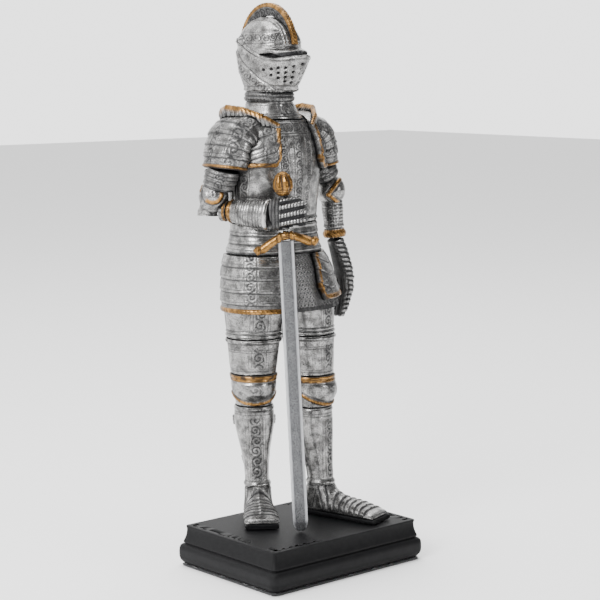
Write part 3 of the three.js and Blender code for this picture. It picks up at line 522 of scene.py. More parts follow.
def metal_paint(
    name, light, deep, gilt=(0.37, 0.195, 0.06), roughness=0.3, metallic=0.9, wash=0.6, grain=0.5, shine=1.35
):
    """Antiqued metal paint: a mottled coat, gilt, lighter trims with painted highlights, and black wash with
    painted shade in the recesses.
    """
    material = bpy.data.materials.new(name)
    material.use_nodes = True
    tree = material.node_tree
    shader = tree.nodes["Principled BSDF"]
    paint = node(tree, "ShaderNodeAttribute", attribute_name="paint")
    masks = tree.nodes.new("ShaderNodeSeparateColor")
    tree.links.new(paint.outputs["Color"], masks.inputs["Color"])
    dark, gold, bright = masks.outputs
    cloud = noise_of(tree, 3.2)
    speck = noise_of(tree, 0.34, 2.0)
    coat = mix_colour(tree, remap(tree, cloud, 0.32, 0.68), deep, light)
    coat = mix_colour(tree, remap(tree, speck, 0.47, 0.62, 0.0, 0.8), coat, tuple(0.25 * c for c in deep))
    coat = mix_colour(tree, bright, coat, tuple(min(1.0, shine * c) for c in light))
    worn = mix_colour(tree, remap(tree, cloud, 0.4, 0.65), tuple(0.4 * c for c in gilt), gilt)
    coat = mix_colour(tree, gold, coat, worn)
    # Painted shade: ambient occlusion darkens the coat in recesses and where parts meet, by up to wash, on
    # top of the black wash.
    shade = tree.nodes.new("ShaderNodeAmbientOcclusion")
    shade.samples = 6
    shade.inputs["Distance"].default_value = 2.2 * MM
    crevice = remap(tree, shade.outputs["AO"], 0.85, 0.35, 0.0, wash)
    patchy = maths(tree, "MULTIPLY", dark, remap(tree, speck, 0.2, 0.5, 0.75, 1.0))
    wash_and_shade = maths(tree, "MAXIMUM", crevice, patchy)
    coat = mix_colour(tree, wash_and_shade, coat, (0.012, 0.012, 0.013))
    tree.links.new(coat, shader.inputs["Base Color"])
    gloss = maths(tree, "MULTIPLY_ADD", speck, 0.22, roughness - 0.1)
    gloss = maths(tree, "MULTIPLY_ADD", wash_and_shade, 0.3, gloss)
    gloss = maths(tree, "MULTIPLY_ADD", bright, -0.08, gloss)
    tree.links.new(gloss, shader.inputs["Roughness"])
    tree.links.new(maths(tree, "MULTIPLY_ADD", wash_and_shade, -0.75 * metallic, metallic), shader.inputs["Metallic"])
    shader.inputs["Specular IOR Level"].default_value = 0.15
    bump = tree.nodes.new("ShaderNodeBump")
    bump.inputs["Strength"].default_value = grain
    bump.inputs["Distance"].default_value = 0.05 * MM
    tree.links.new(speck, bump.inputs["Height"])
    tree.links.new(bump.outputs["Normal"], shader.inputs["Normal"])
    return material


def plain_paint(name, light, deep, roughness=0.4, size=2.0, grain=0.4, sheen=0.0, edge=None):
    """Matt or satin paint with a mottled colour; edge is the colour of the painted highlights set by the
    bright mask.
    """
    material = bpy.data.materials.new(name)
    material.use_nodes = True
    tree = material.node_tree
    shader = tree.nodes["Principled BSDF"]
    cloud = noise_of(tree, size)
    speck = noise_of(tree, 0.3, 3.0)
    coat = mix_colour(tree, remap(tree, cloud, 0.3, 0.7), deep, light)
    coat = mix_colour(tree, remap(tree, speck, 0.45, 0.75, 0.0, 0.5), coat, tuple(0.5 * c for c in deep))
    if edge:
        paint = node(tree, "ShaderNodeAttribute", attribute_name="paint")
        masks = tree.nodes.new("ShaderNodeSeparateColor")
        tree.links.new(paint.outputs["Color"], masks.inputs["Color"])
        coat = mix_colour(tree, masks.outputs[2], coat, edge)
    tree.links.new(coat, shader.inputs["Base Color"])
    tree.links.new(maths(tree, "MULTIPLY_ADD", speck, 0.2, roughness - 0.1), shader.inputs["Roughness"])
    shader.inputs["Specular IOR Level"].default_value = 0.12
    if sheen:
        shader.inputs["Sheen Weight"].default_value = sheen
    bump = tree.nodes.new("ShaderNodeBump")
    bump.inputs["Strength"].default_value = grain
    bump.inputs["Distance"].default_value = 0.06 * MM
    tree.links.new(speck, bump.inputs["Height"])
    tree.links.new(bump.outputs["Normal"], shader.inputs["Normal"])
    return material


SILVER = metal_paint("antique_silver", (0.40, 0.395, 0.388), (0.12, 0.118, 0.116), roughness=0.25, wash=0.95)
STEEL = metal_paint("dark_silver", (0.20, 0.198, 0.196), (0.09, 0.089, 0.088), wash=0.9)
GOLD = metal_paint("antique_gold", (0.39, 0.205, 0.06), (0.18, 0.09, 0.026), roughness=0.3, wash=0.9)
BLADE = metal_paint(
    "blade_grey", (0.15, 0.152, 0.158), (0.12, 0.122, 0.127),
    roughness=0.36, metallic=0.7, wash=0.2, grain=0.2, shine=3.2,
)
BLACK = plain_paint(
    "plinth_black", (0.005, 0.005, 0.0055), (0.003, 0.003, 0.0035), 0.55, grain=0.08, edge=(0.05, 0.05, 0.052)
)
FELT = plain_paint("felt", (0.02, 0.02, 0.022), (0.006, 0.006, 0.007), 0.95, size=0.5, grain=1.0, sheen=0.5)
ROD = metal_paint("rod_steel", (0.30, 0.30, 0.31), (0.22, 0.22, 0.23), roughness=0.3)


# ---------------------------------------------------------------- pieces
def piece(name, skin, material, nodes):
    """Mesh object of a finished skin, which stands for CAD nodes."""
    mesh = bpy.data.meshes.new(name)
    shaped = (skin.points + skin.normals * skin.height[:, None]) * MM
    mesh.from_pydata(shaped.tolist(), [], skin.faces)
    paint = mesh.color_attributes.new("paint", "FLOAT_COLOR", "POINT")
    masks = np.stack([skin.dark, skin.gold, skin.bright, np.ones(len(shaped))], 1)
    paint.data.foreach_set("color", np.clip(masks, 0, 1).astype(np.float32).ravel())
    mesh.polygons.foreach_set("use_smooth", np.ones(len(mesh.polygons), bool))
    mesh.materials.append(material)
    made = bpy.data.objects.new(name, mesh)
    bpy.context.scene.collection.objects.link(made)
    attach(made, "root")
    if nodes:
        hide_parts(*([nodes] if isinstance(nodes, str) else nodes))
    return made


def ends_of(name, inset=0.15):
    """Middle of a node's lowest and highest outline."""
    points = np.array([v.co for v in NODES[name].data.vertices]) / MM
    out = []
    for z, way in ((points[:, 2].min(), 1), (points[:, 2].max(), -1)):
        ring = points[np.abs(points[:, 2] - z) < 0.6]
        out.append([*((ring.min(0) + ring.max(0))[:2] / 2), z + way * inset])
    return out


def way_of(turn):
    return np.array([-math.sin(math.radians(turn)), -math.cos(math.radians(turn)), 0])


# ---------------------------------------------------------------- base
PLINTH_TOP_SIZE = (77.7, 56.8)
PLINTH_LOW, PLINTH_HIGH = 1.3, 17.0
PLINTH_RELIEF = [  # height share, reach in mm beyond the top face
    (0, 0.8), (0.02, 1.1), (0.1, 2.1), (0.17, 2.42), (0.24, 2.5), (0.34, 2.48), (0.42, 2.35),
    (0.47, 2.0), (0.5, 1.4), (0.512, 0.34), (0.545, 0.3), (0.556, 0.95), (0.568, 1.02), (0.6, 0.86),
    (0.66, 0.45), (0.72, 0.15), (0.8, -0.12), (0.88, -0.25), (0.93, -0.22), (0.965, -0.02), (0.978, 0.0),
    (0.992, -0.06), (1.0, -0.3), (1.0, -0.6), (1.0, -1.1), (1.0, -2.2),
]


def rounded_ring(size, corner, z, count=14):
    """Points round a level rectangle with rounded corners, closely spaced along its sides."""
    half = np.array(size) / 2 - corner
    ring = []
    for turn, (sx, sy) in enumerate(((1, 1), (-1, 1), (-1, -1), (1, -1))):
        for step in range(count + 1):
            angle = math.pi / 2 * (turn + step / count)
            ring.append((sx * half[0] + corner * math.cos(angle), sy * half[1] + corner * math.sin(angle), z))
        start = np.array(ring[-1])
        side = half[0] * 2 if turn % 2 == 0 else half[1] * 2
        way = np.array([(-1, 0, 0), (0, -1, 0), (1, 0, 0), (0, 1, 0)][turn], float)
        ring += [tuple(start + way * side * s) for s in np.linspace(0, 1, 40)[1:-1]]
    return np.array(ring)


def make_plinth():
    rings = []
    for share, reach in PLINTH_RELIEF:
        size = [s + 2 * reach for s in PLINTH_TOP_SIZE]
        rings.append(rounded_ring(size, 1.6 + reach * 0.5, PLINTH_LOW + share * (PLINTH_HIGH - PLINTH_LOW)))
    skin = grid_skin(np.array(rings))
    columns = skin.grid[1]
    # Painted highlight: a few rows of the moulding are lightened towards the edge colour.
    rim = np.zeros(len(skin.points))
    for row in (4, 5, 12, 21):
        rim[row * columns : (row + 1) * columns] = 0.55
    skin.bright = rim * 0.2
    return piece("plinth_body", skin, BLACK, "plinth")


def make_felt():
    size = [s + 2 * 1.4 for s in PLINTH_TOP_SIZE]
    rings = [rounded_ring([s - 2 * inset for s in size], 2.2, z) for z, inset in
             ((0.02, 1.0), (0.02, 0.25), (0.18, 0.05), (0.45, 0.0), (0.75, 0.05), (0.93, 0.25), (0.96, 1.0))]
    skin = grid_skin(np.array(rings))
    fuzz = noise(skin.points, 0.6) + noise(skin.points, 1.7)
    skin.height += 0.12 * (fuzz - 1.2) * (np.arange(len(fuzz)) < skin.grid[0] * skin.grid[1])
    skin.height = np.minimum(skin.height, 0.02)
    return piece("felt_underlay", skin, FELT, "felt_pad")


make_plinth()
make_felt()


# ---------------------------------------------------------------- legs
LEGS = {
    "right": {"turn": 35.5, "outer": -1, "ankle": (-6.6, 20.0), "toe": 23.6, "heel": 8.6},
    "left": {"turn": -17.0, "outer": 1, "ankle": (15.9, 5.3), "toe": 28.8, "heel": 8.8},
}


def make_greave(hand, leg):
    skin = wrap(f"greave_{hand}", ends_of(f"greave_{hand}"), way_of(leg["turn"]))
    x = skin.round(way_of(leg["turn"]))
    y = skin.up
    top = skin.length
    band = smooth(3.0, 3.6, y) * smooth(top - 4.6, top - 5.2, y)
    etched_band(skin, x, y, 4.6, band)
    skin.swell(0.3, ridge(x, 1.6) * smooth(top - 4, top - 14, y) * smooth(2, 8, y))
    for side in (-1, 1):
        skin.carve(0.12, ridge(x - side * 4.4, 0.4) * band, 0.5)
        seam = x - side * (12.4 + 2.6 * smooth(10, 28, y))
        skin.carve(0.22, ridge(seam, 0.55) * smooth(1, 2, y), 0.8)
        skin.swell(0.16, ridge(seam - side * 0.8, 0.9))
        for place in (0.3 * top, 0.8 * top):
            hinge = smooth(1.1, 0.8, np.abs(seam)) * smooth(2.1, 1.8, np.abs(y - place))
            skin.swell(0.75, hinge * np.sqrt(np.clip(1 - (seam / 1.3) ** 2, 0.05, 1)))
            skin.carve(0.2, near_lines(y - place, (-0.75, 0.75), 0.4) * hinge, 0.8)
            skin.dark = np.maximum(skin.dark, 0.8 * ridge(np.hypot(seam / 1.4, (y - place) / 2.3) - 1, 0.3))
    skin.swell(0.5, ridge(y - 1.0, 2.0))
    skin.carve(0.15, ridge(y - 2.4, 0.5), 0.8)
    skin.swell(0.3, ridge(y - top + 1.0, 1.6))
    for place in (2.4, 3.4):
        skin.carve(0.12, ridge(y - top + place, 0.45), 0.75)
    skin.dark = np.maximum(skin.dark, 0.35 * smooth(0.55, 0.8, noise(skin.points, 2.2)) * smooth(10, 2, y))
    return piece(f"greave_shell_{hand}", skin, SILVER, f"greave_{hand}")


def make_poleyn(hand, leg):
    skin = wrap(f"poleyn_{hand}", ends_of(f"poleyn_{hand}"), way_of(leg["turn"]))
    x = skin.round(way_of(leg["turn"]))
    y = skin.up
    top = skin.length
    dome = np.hypot(x / 10.0, (y - 7.2) / 4.8)
    skin.swell(0.8, smooth(1.15, 0.1, dome))
    skin.carve(0.1, smooth(0.3, 0.24, dome) * scroll(x, y, 4.6), 0.5)
    sag = 0.95 + 4.4 * (1 - np.cos(np.clip(x / 9.5, -1.5, 1.5)))
    rope(skin, y - sag, x, width=1.5, rise=0.4, pitch=1.4)
    skin.carve(0.2, ridge(y - sag - 1.25, 0.6), 0.85)
    skin.height -= 0.35 * smooth(0.2, -0.4, y - sag + 0.6)
    rim = smooth(0.2, 0.05, np.abs(y - top + 1.35) - 1.2)
    skin.swell(0.45, rim)
    skin.gild(rim)
    skin.carve(0.16, near_lines(y - top + 1.35, (-1.35, 0.1, 1.35), 0.4), 0.85)
    skin.dark = np.maximum(skin.dark, 0.8 * rim * smooth(0.55, 0.75, noise(skin.points, 0.9)))
    return piece(f"poleyn_shell_{hand}", skin, SILVER, f"poleyn_{hand}")


def make_cuisses(hand, leg):
    way = way_of(leg["turn"] * 0.8)
    low_skin = wrap(f"lower_cuisse_{hand}", ends_of(f"lower_cuisse_{hand}"), way)
    x, y, top = low_skin.round(way), low_skin.up, low_skin.length
    band = smooth(2.6, 3.0, y) * smooth(top - 3.6, top - 4.0, y)
    etched_band(low_skin, x, y, 4.8, band)
    for side in (-1, 1):
        low_skin.carve(0.12, ridge(x - side * 4.3, 0.4) * band, 0.5)
        low_skin.carve(0.2, ridge(x - side * 17.5, 0.6), 0.8)
        low_skin.swell(0.15, ridge(x - side * 16.6, 0.8))
    low_skin.carve(0.16, ridge(y - 1.3, 0.5), 0.8)
    low_skin.carve(0.1, ridge(y - 2.2, 0.4), 0.6)
    low_skin.swell(0.45, ridge(y - top + 0.9, 1.5))
    low_skin.carve(0.2, ridge(y - top + 1.9, 0.55), 0.95)
    for place in (4.4, 5.3):
        low_skin.carve(0.13, ridge(y - top + place, 0.45), 0.8)
    # Darker in blotches over its top 4 mm.
    top_mottle = smooth(0.5, 0.7, noise(low_skin.points, 0.8)) * (y > top - 4)
    low_skin.dark = np.maximum(low_skin.dark, 0.5 * top_mottle)
    piece(f"lower_cuisse_shell_{hand}", low_skin, SILVER, f"lower_cuisse_{hand}")

    up_skin = wrap(f"upper_cuisse_{hand}", ends_of(f"upper_cuisse_{hand}"), way)
    x, y, top = up_skin.round(way), up_skin.up, up_skin.length
    band = smooth(3.2, 3.6, y)
    etched_band(up_skin, x, y + 1.4, 4.8, band)
    for side in (-1, 1):
        up_skin.carve(0.12, ridge(x - side * 4.3, 0.4) * band, 0.5)
        up_skin.carve(0.2, ridge(x - side * 18.5, 0.6), 0.8)
    up_skin.swell(0.6, ridge(y - 0.9, 1.5))
    up_skin.swell(0.35, ridge(y - 2.5, 0.9))
    for place in (1.75, 3.2):
        up_skin.carve(0.16, ridge(y - place, 0.5), 0.85)
    piece(f"upper_cuisse_shell_{hand}", up_skin, SILVER, f"upper_cuisse_{hand}")


def make_foot(hand, leg):
    way = way_of(leg["turn"])
    side = np.array([-way[1], way[0], 0])
    skin = cast(f"sabaton_{hand}", rounds=26)
    ahead = (skin.points - np.array([*leg["ankle"], 0])) @ way
    across = (skin.points - np.array([*leg["ankle"], 0])) @ side
    rise = skin.points[:, 2] - 19.5
    toe = leg["toe"]
    slant = ahead + 0.32 * rise * smooth(14, 2, ahead)
    edges = np.linspace(4.6, toe - 4.2, 9)
    lames(skin, -slant, [-e for e in edges], step=0.5, mask=smooth(0.6, 1.4, rise), line=False)
    upper = smooth(2.0, 3.2, rise)
    skin.swell(0.35, ridge(across, 1.4) * upper * smooth(2, 6, ahead) * smooth(toe - 2, toe - 6, ahead))
    skin.carve(0.18, ridge(ahead + 0.6 - 0.25 * rise, 0.6) * smooth(1, 2, rise), 0.85)
    skin.carve(0.14, ridge(ahead + 2.0 - 0.25 * rise, 0.45) * smooth(1, 2, rise), 0.6)
    skin.carve(0.16, ridge(rise - 10.0, 0.5), 0.8)
    skin.carve(0.12, ridge(rise - 1.0, 0.5), 0.9)
    # Painted shade: the back of the foot is darkened low down, behind the ankle.
    skin.dark = np.maximum(skin.dark, 0.6 * smooth(-4.5, -7.5, ahead) * smooth(5, 2, rise))
    for place in edges[::2]:
        for s in (-1, 1):
            spot = np.array([*leg["ankle"], 0]) + way * (place + 0.9) + side * s * 5.9
            spot[2] = 21.3
            rivets(skin, spot, 0.42, 0.25)
    piece(f"sabaton_plates_{hand}", skin, SILVER, f"sabaton_{hand}")

    pad = cast(f"sole_{hand}", rounds=8)
    level = smooth(0.6, 0.9, np.abs(pad.normals[:, 2]))
    pad.height -= 0.12 * noise(pad.points, 0.8) + 0.12 * level * noise(pad.points, 2.4)
    pad.carve(0.14, near_lines(pad.up, (0.75, 1.45), 0.35) * smooth(0.5, 0.2, np.abs(pad.normals[:, 2])), 0.4)
    piece(f"sole_pad_{hand}", pad, BLACK, f"sole_{hand}")


for hand, leg in LEGS.items():
    make_greave(hand, leg)
    make_poleyn(hand, leg)
    make_cuisses(hand, leg)
    make_foot(hand, leg)


# ---------------------------------------------------------------- plates laid over a form
def sample(grid, rows, columns):
    """Points of a grid at fractional rows and columns, round its seam."""
    high = grid.shape[0] - 1
    r = np.clip(rows, 0, high - 1e-6)
    r0 = np.floor(r).astype(int)
    c0 = np.floor(columns).astype(int)
    tr, tc = (r - r0)[..., None], (columns - c0)[..., None]
    n = grid.shape[1]
    a, b = grid[r0, c0 % n], grid[r0, (c0 + 1) % n]
    c, d = grid[r0 + 1, c0 % n], grid[r0 + 1, (c0 + 1) % n]
    return (a * (1 - tc) + b * tc) * (1 - tr) + (c * (1 - tc) + d * tc) * tr


def plate(form, middle, from_bearing, to_bearing, low_edge, high_edge, offset, thickness, detail=DETAIL):
    """Thick plate over a wrapped form, between two bearings from a middle and between two edges,
    which are heights z given as functions of the share along the plate."""
    rows, columns = form.grid
    grid = form.points[: rows * columns].reshape(rows, columns, 3)
    normal = form.normals[: rows * columns].reshape(rows, columns, 3)
    grid = grid + normal * offset
    heights = grid[:, :, 2].mean(axis=1)
    radius = np.hypot(*(grid[rows // 2, 0, :2] - middle[:2]))
    across = max(8, int(math.radians(to_bearing - from_bearing) * radius / detail))
    share = np.linspace(0, 1, across)
    bottoms, tops = low_edge(share), high_edge(share)
    up = max(6, int((tops - bottoms).max() / detail))
    z = bottoms + (tops - bottoms) * np.linspace(0, 1, up)[:, None]
    row_at = np.interp(z, heights, np.arange(rows))
    target = from_bearing + (to_bearing - from_bearing) * share
    column_at = np.zeros_like(z)
    for r in range(up):
        ring = grid[int(row_at[r].mean())]
        angle = np.degrees(np.unwrap(np.arctan2(ring[:, 0] - middle[0], -(ring[:, 1] - middle[1]))))
        both = np.concatenate([angle - 360, angle, angle + 360])
        column_at[r] = np.interp(target, both, np.arange(-columns, 2 * columns))
    outer = sample(grid, row_at, column_at)
    outward = sample(normal, row_at, column_at)
    return slab(outer, outward, thickness)


def slab(outer, outward, thickness):
    """Skin of a thick plate from its outer points; x and y run from its first edge and its lower edge."""
    up, across = outer.shape[:2]
    outward = outward / np.linalg.norm(outward, axis=2, keepdims=True)
    n = up * across
    edge = np.zeros((up, across))
    edge[[0, -1]] = 1
    edge[:, [0, -1]] = 1
    outer = outer - outward * (0.25 * edge)[..., None]
    points = np.concatenate([outer.reshape(-1, 3), (outer - outward * thickness).reshape(-1, 3)])
    normals = np.concatenate([outward.reshape(-1, 3), -outward.reshape(-1, 3)])
    i = np.arange(up - 1)[:, None] * across + np.arange(across - 1)[None, :]
    i = i.ravel()
    quads = np.stack([i, i + 1, i + across + 1, i + across], 1)
    face_normal = np.cross(outer[0, 1] - outer[0, 0], outer[1, 0] - outer[0, 0])
    flip = (face_normal * outward[0, 0]).sum() < 0
    faces = (quads[:, ::-1] if flip else quads).tolist()
    faces += ((quads if flip else quads[:, ::-1]) + n).tolist()
    rim = [*range(across), *(r * across + across - 1 for r in range(1, up)),
           *range(n - 2, n - across - 1, -1), *(r * across for r in range(up - 2, 0, -1))]
    for a, b in zip(rim, rim[1:] + rim[:1]):
        faces.append([a, b, b + n, a + n] if flip else [b, a, a + n, b + n])
    step_x = np.linalg.norm(np.diff(outer, axis=1), axis=2)
    step_y = np.linalg.norm(np.diff(outer, axis=0), axis=2)
    x = np.concatenate([np.zeros((up, 1)), np.cumsum(step_x, axis=1)], axis=1)
    y = np.concatenate([np.zeros((1, across)), np.cumsum(step_y, axis=0)])
    skin = Skin(points, normals, faces, np.concatenate([y.ravel(), y.ravel()]))
    skin.x = np.concatenate([x.ravel(), x.ravel()])
    skin.x_back = np.concatenate([(x[:, -1:] - x).ravel()] * 2)
    skin.y = skin.up
    skin.y_back = np.concatenate([(y[-1:] - y).ravel()] * 2)
    skin.outer = np.concatenate([np.ones(n), np.zeros(n)])
    return skin


def plate_piece(name, skin, material, nodes):
    """Piece of a plate whose relief is kept to its outer face, with painted shade on its inner face."""
    skin.height *= skin.outer
    skin.dark = np.where(skin.outer > 0, skin.dark, 0.6)
    return piece(name, skin, material, nodes)


# ---------------------------------------------------------------- hips
HIPS = (0.6, 11.8)
WAIST = (-3.0, 13.4)
CHEST = (-4.0, 13.2)
NECK = (-5.6, 13.0)
FRONT = (0, -1, 0)


def make_hips():
    skirt_path = [(HIPS[0], HIPS[1], 105.8), (WAIST[0], WAIST[1], 129.0)]
    skirt = wrap("mail_skirt", skirt_path, FRONT, harmonics=7)
    form = wrap("mail_skirt", skirt_path, FRONT, harmonics=7)
    x, y = skirt.round(FRONT), skirt.up
    z = skirt.points[:, 2]
    mail(skirt, x, y, smooth(1.4, 1.8, y))
    skirt.swell(0.5, smooth(2.0, 1.2, y) * (0.7 + 0.3 * np.cos(x * 1.7)))
    skirt.dark = np.maximum(skirt.dark, 0.75 * smooth(1.9, 1.5, y))
    skirt.height += 0.5 * np.sin(x * 0.55) * smooth(16, 4, y)
    skirt.height -= 0.5
    piece("mail_skirt_rings", skirt, STEEL, "mail_skirt")

    tops = lambda s: 128.9 + 0 * s
    lips = [109.6, 114.4, 119.6, 124.6]

    def dress(skin, front_edge, gold_front=True):
        z = skin.points[:, 2]
        lames(skin, z, lips, step=0.45)
        rope(skin, skin.y - 1.1, skin.x, width=2.1, rise=0.55, pitch=1.9)
        if gold_front:
            rope(skin, front_edge - 1.0, skin.y, width=2.0, rise=0.55, pitch=1.9)
        skin.carve(0.12, ridge(skin.y - 2.9, 0.45), 0.7)
        skin.swell(0.2, ridge(skin.y_back - 0.6, 1.0))

    right_hem = lambda s: 105.9 + 6.5 * smooth(0.93, 1.0, s) ** 1.5
    right = plate(form, HIPS, -137.5, -25, right_hem, tops, 2.15, 1.7)
    dress(right, right.x_back)
    across, height = layout(right.points)
    face = right.facing(BACK, 0.2, 0.4)
    band = across + 20.9 - 0.02 * (130.41 - height)
    etched_band(right, band, right.points[:, 2], 4.0, face * smooth(108.6, 109.4, right.points[:, 2]))
    far = right.x - 9
    etched_band(right, far, right.points[:, 2], 4.0, smooth(108.6, 109.4, right.points[:, 2]))
    plate_piece("tasset_plates_right", right, SILVER, "tasset_right")

    left = plate(form, HIPS, 19, 137.5, lambda s: 109.7 + 5.0 * smooth(0.06, 0.0, s), tops, 2.15, 1.7)
    z = left.points[:, 2]
    slant = z + 0.35 * left.x * smooth(20, 8, left.x)
    lames(left, slant, [p + 3.2 for p in lips], step=0.45)
    rope(left, left.y - 1.1, left.x, width=2.2, rise=0.55, pitch=1.9)
    rope(left, left.x - 1.1, left.y, width=2.2, rise=0.6, pitch=1.9)
    flourish = smooth(3.4, 2.8, np.hypot((left.x - 7.0) / 1.1, left.y - 5.4))
    left.carve(0.16, flourish * scroll(left.x - 7.0, left.y, 5.0), 0.85)
    etched_band(left, left.x - 24, z, 4.0, smooth(112.6, 113.2, z))
    plate_piece("tasset_plates_left", left, SILVER, "tasset_left")

    rear = plate(form, HIPS, 138.8, 221.2, lambda s: 107.8 + 0 * s, tops, 2.15, 1.7)
    dress(rear, rear.x_back, gold_front=False)
    middle = (rear.x - rear.x_back) / 2
    etched_band(rear, middle, rear.points[:, 2], 4.2, smooth(110.8, 111.4, rear.points[:, 2]))
    plate_piece("culet_plates", rear, SILVER, "culet")

    fauld = wrap("fauld", ends_of("fauld"), FRONT, harmonics=7)
    z = fauld.points[:, 2]
    lames(fauld, z, [130.2, 133.6, 137.0], step=0.4)
    fauld.swell(0.4, ridge(z - 140.6, 1.2))
    piece("fauld_lames", fauld, SILVER, "fauld")


make_hips()


# ---------------------------------------------------------------- trunk
def make_trunk():
    path = [(*WAIST, 141.85), (*CHEST, 182.9)]
    skin = wrap(["breastplate", "backplate"], path, FRONT, harmonics=8, rough_rows=44)
    x, z = skin.round(FRONT), skin.points[:, 2]
    front = skin.points[:, 1] < CHEST[1]
    skin.swell(0.9, ridge(x, 7.0) * front * smooth(142, 152, z) * smooth(182, 172, z))
    span = smooth(143.4, 144.0, z) * smooth(177.2, 176.6, z)
    etched_band(skin, x, z, 3.6, span)
    skin.swell(0.35, ridge(x, 0.8) * span)
    for side in (-1, 1):
        lean = x - side * (5.4 + 1.5 * smooth(150, 176, z))
        etched_band(skin, lean, z, 3.0, span)
        edge = x - side * (30.5 - 5.5 * smooth(164, 180, z))
        etched_band(skin, edge + side * 6.5, z, 3.4, span)
        skin.swell(0.4, ridge(edge, 1.3))
        skin.carve(0.2, ridge(edge - side * 1.2, 0.55), 0.8)
    rear = smooth(4.0, 5.0, skin.points[:, 1] - CHEST[1])
    lateral = skin.points[:, 0] - CHEST[0] - 0.024 * (182.9 - z)
    skin.swell(0.5, ridge(lateral, 5.0) * rear * smooth(142, 152, z) * smooth(182, 172, z))
    etched_band(skin, lateral, z, 3.8, span * rear)
    for side in (-1, 1):
        etched_band(skin, lateral - side * (10.5 + 0.1 * (z - 143)), z, 3.2, span * rear)
        blade = np.hypot((lateral - side * 6.2) / 3.6, (z - 169) / 6.5)
        skin.swell(0.7, smooth(1.0, 0.2, blade) * rear)
    seam = skin.points[:, 1] - CHEST[1]
    skin.carve(0.3, ridge(seam, 0.5), 0.9)
    skin.swell(0.45, ridge(z - 143.0, 1.3))
    skin.carve(0.14, ridge(z - 144.4, 0.45), 0.75)
    collar = smooth(178.2, 178.6, z)
    skin.carve(0.14, collar * scroll(z - 180.3, x, 3.4) * smooth(182.3, 182.0, z), 0.8)
    for place in (177.4, 178.3, 182.4):
        skin.swell(0.18, ridge(z - place, 0.5))
        skin.carve(0.12, ridge(z - place + 0.5, 0.4), 0.8)
    skin.dark = np.maximum(skin.dark, 0.25 * smooth(0.5, 0.8, noise(skin.points, 3.0)))
    piece("cuirass_plates", skin, SILVER, ["breastplate", "backplate"])

    path = [(*CHEST, 183.6), (*NECK, 190.15)]
    skin = wrap("gorget", path, FRONT, harmonics=6, rough_rows=16)
    x, z = skin.round(FRONT), skin.points[:, 2]
    skin.carve(0.14, smooth(4.6, 4.2, np.abs(x)) * scroll(x, z, 5.0) * smooth(184.6, 185, z), 0.8)
    for place in (184.3, 185.2, 189.2):
        skin.swell(0.14, ridge(z - place, 0.5))
        skin.carve(0.12, ridge(z - place - 0.45, 0.4), 0.75)
    piece("gorget_plate", skin, SILVER, "gorget")

    path = [(*NECK, 190.6), (*NECK, 194.0)]
    skin = wrap("neck_ring", path, FRONT, harmonics=6, rough_rows=12)
    x, y = skin.round(FRONT), skin.up
    z = skin.points[:, 2]
    skin.points[:, 2] += 0.36 * smooth(193.2, 193.9, z) - 0.36 * smooth(191.4, 190.7, z)
    rope(skin, y - 1.0, x, width=1.8, rise=0.5, gold=0.0, pitch=1.5)
    rope(skin, y - 2.7, x, width=1.4, rise=0.3, gold=0.0, pitch=1.4)
    piece("neck_roping", skin, STEEL, "neck_ring")


make_trunk()


# ---------------------------------------------------------------- helmet
def folded(points):
    """Points of the left half of the head laid over the right half."""
    out = points.copy()
    out[:, 0] = NECK[0] - np.abs(points[:, 0] - NECK[0])
    return out


VISOR_EDGE = curve(
    [(-26.64, 213.61), (-24.8, 208.28), (-20.9, 203.77), (-15.57, 199.26), (-8.61, 195.98), (-0.82, 194.14)]
)
SIGHT = curve(
    [(-16.8, 210.49), (-10.66, 210.04), (-4.51, 210.49), (-0.41, 211.23), (4.51, 212.21)]
)
VISOR_TOP = curve(
    [(-24.8, 218.11), (-23.77, 214.84), (-20.49, 211.76), (-15.98, 209.51), (-10.25, 208.52),
     (-4.1, 208.85), (4.92, 210.49)]
)
BROW_BAND = curve(
    [(-26.64, 217.5), (-20.9, 217.3), (-12.7, 217.5), (-4.51, 218.11), (5.33, 219.34)]
)
VISOR_PIVOT = (-24.8, 216.07)
BREATH_COLUMNS = [  # columns of breath holes, from the side of the face to its prow
    [(-15.45, 204.18)],
    [(-12.3, 204.47), (-12.3, 202.01)],
    [(-9.43, 205), (-9.43, 202.83), (-9.43, 200.78)],
    [(-6.39, 205), (-6.39, 202.95), (-6.48, 201.07), (-6.72, 199.26)],
    [(-2.95, 205.49), (-3.16, 203.2), (-3.57, 200.98), (-3.98, 198.85)],
    [(0.61, 206.56), (0.41, 204.51), (-0.16, 202.62), (-0.66, 200.74), (-1.39, 198.61)],
]


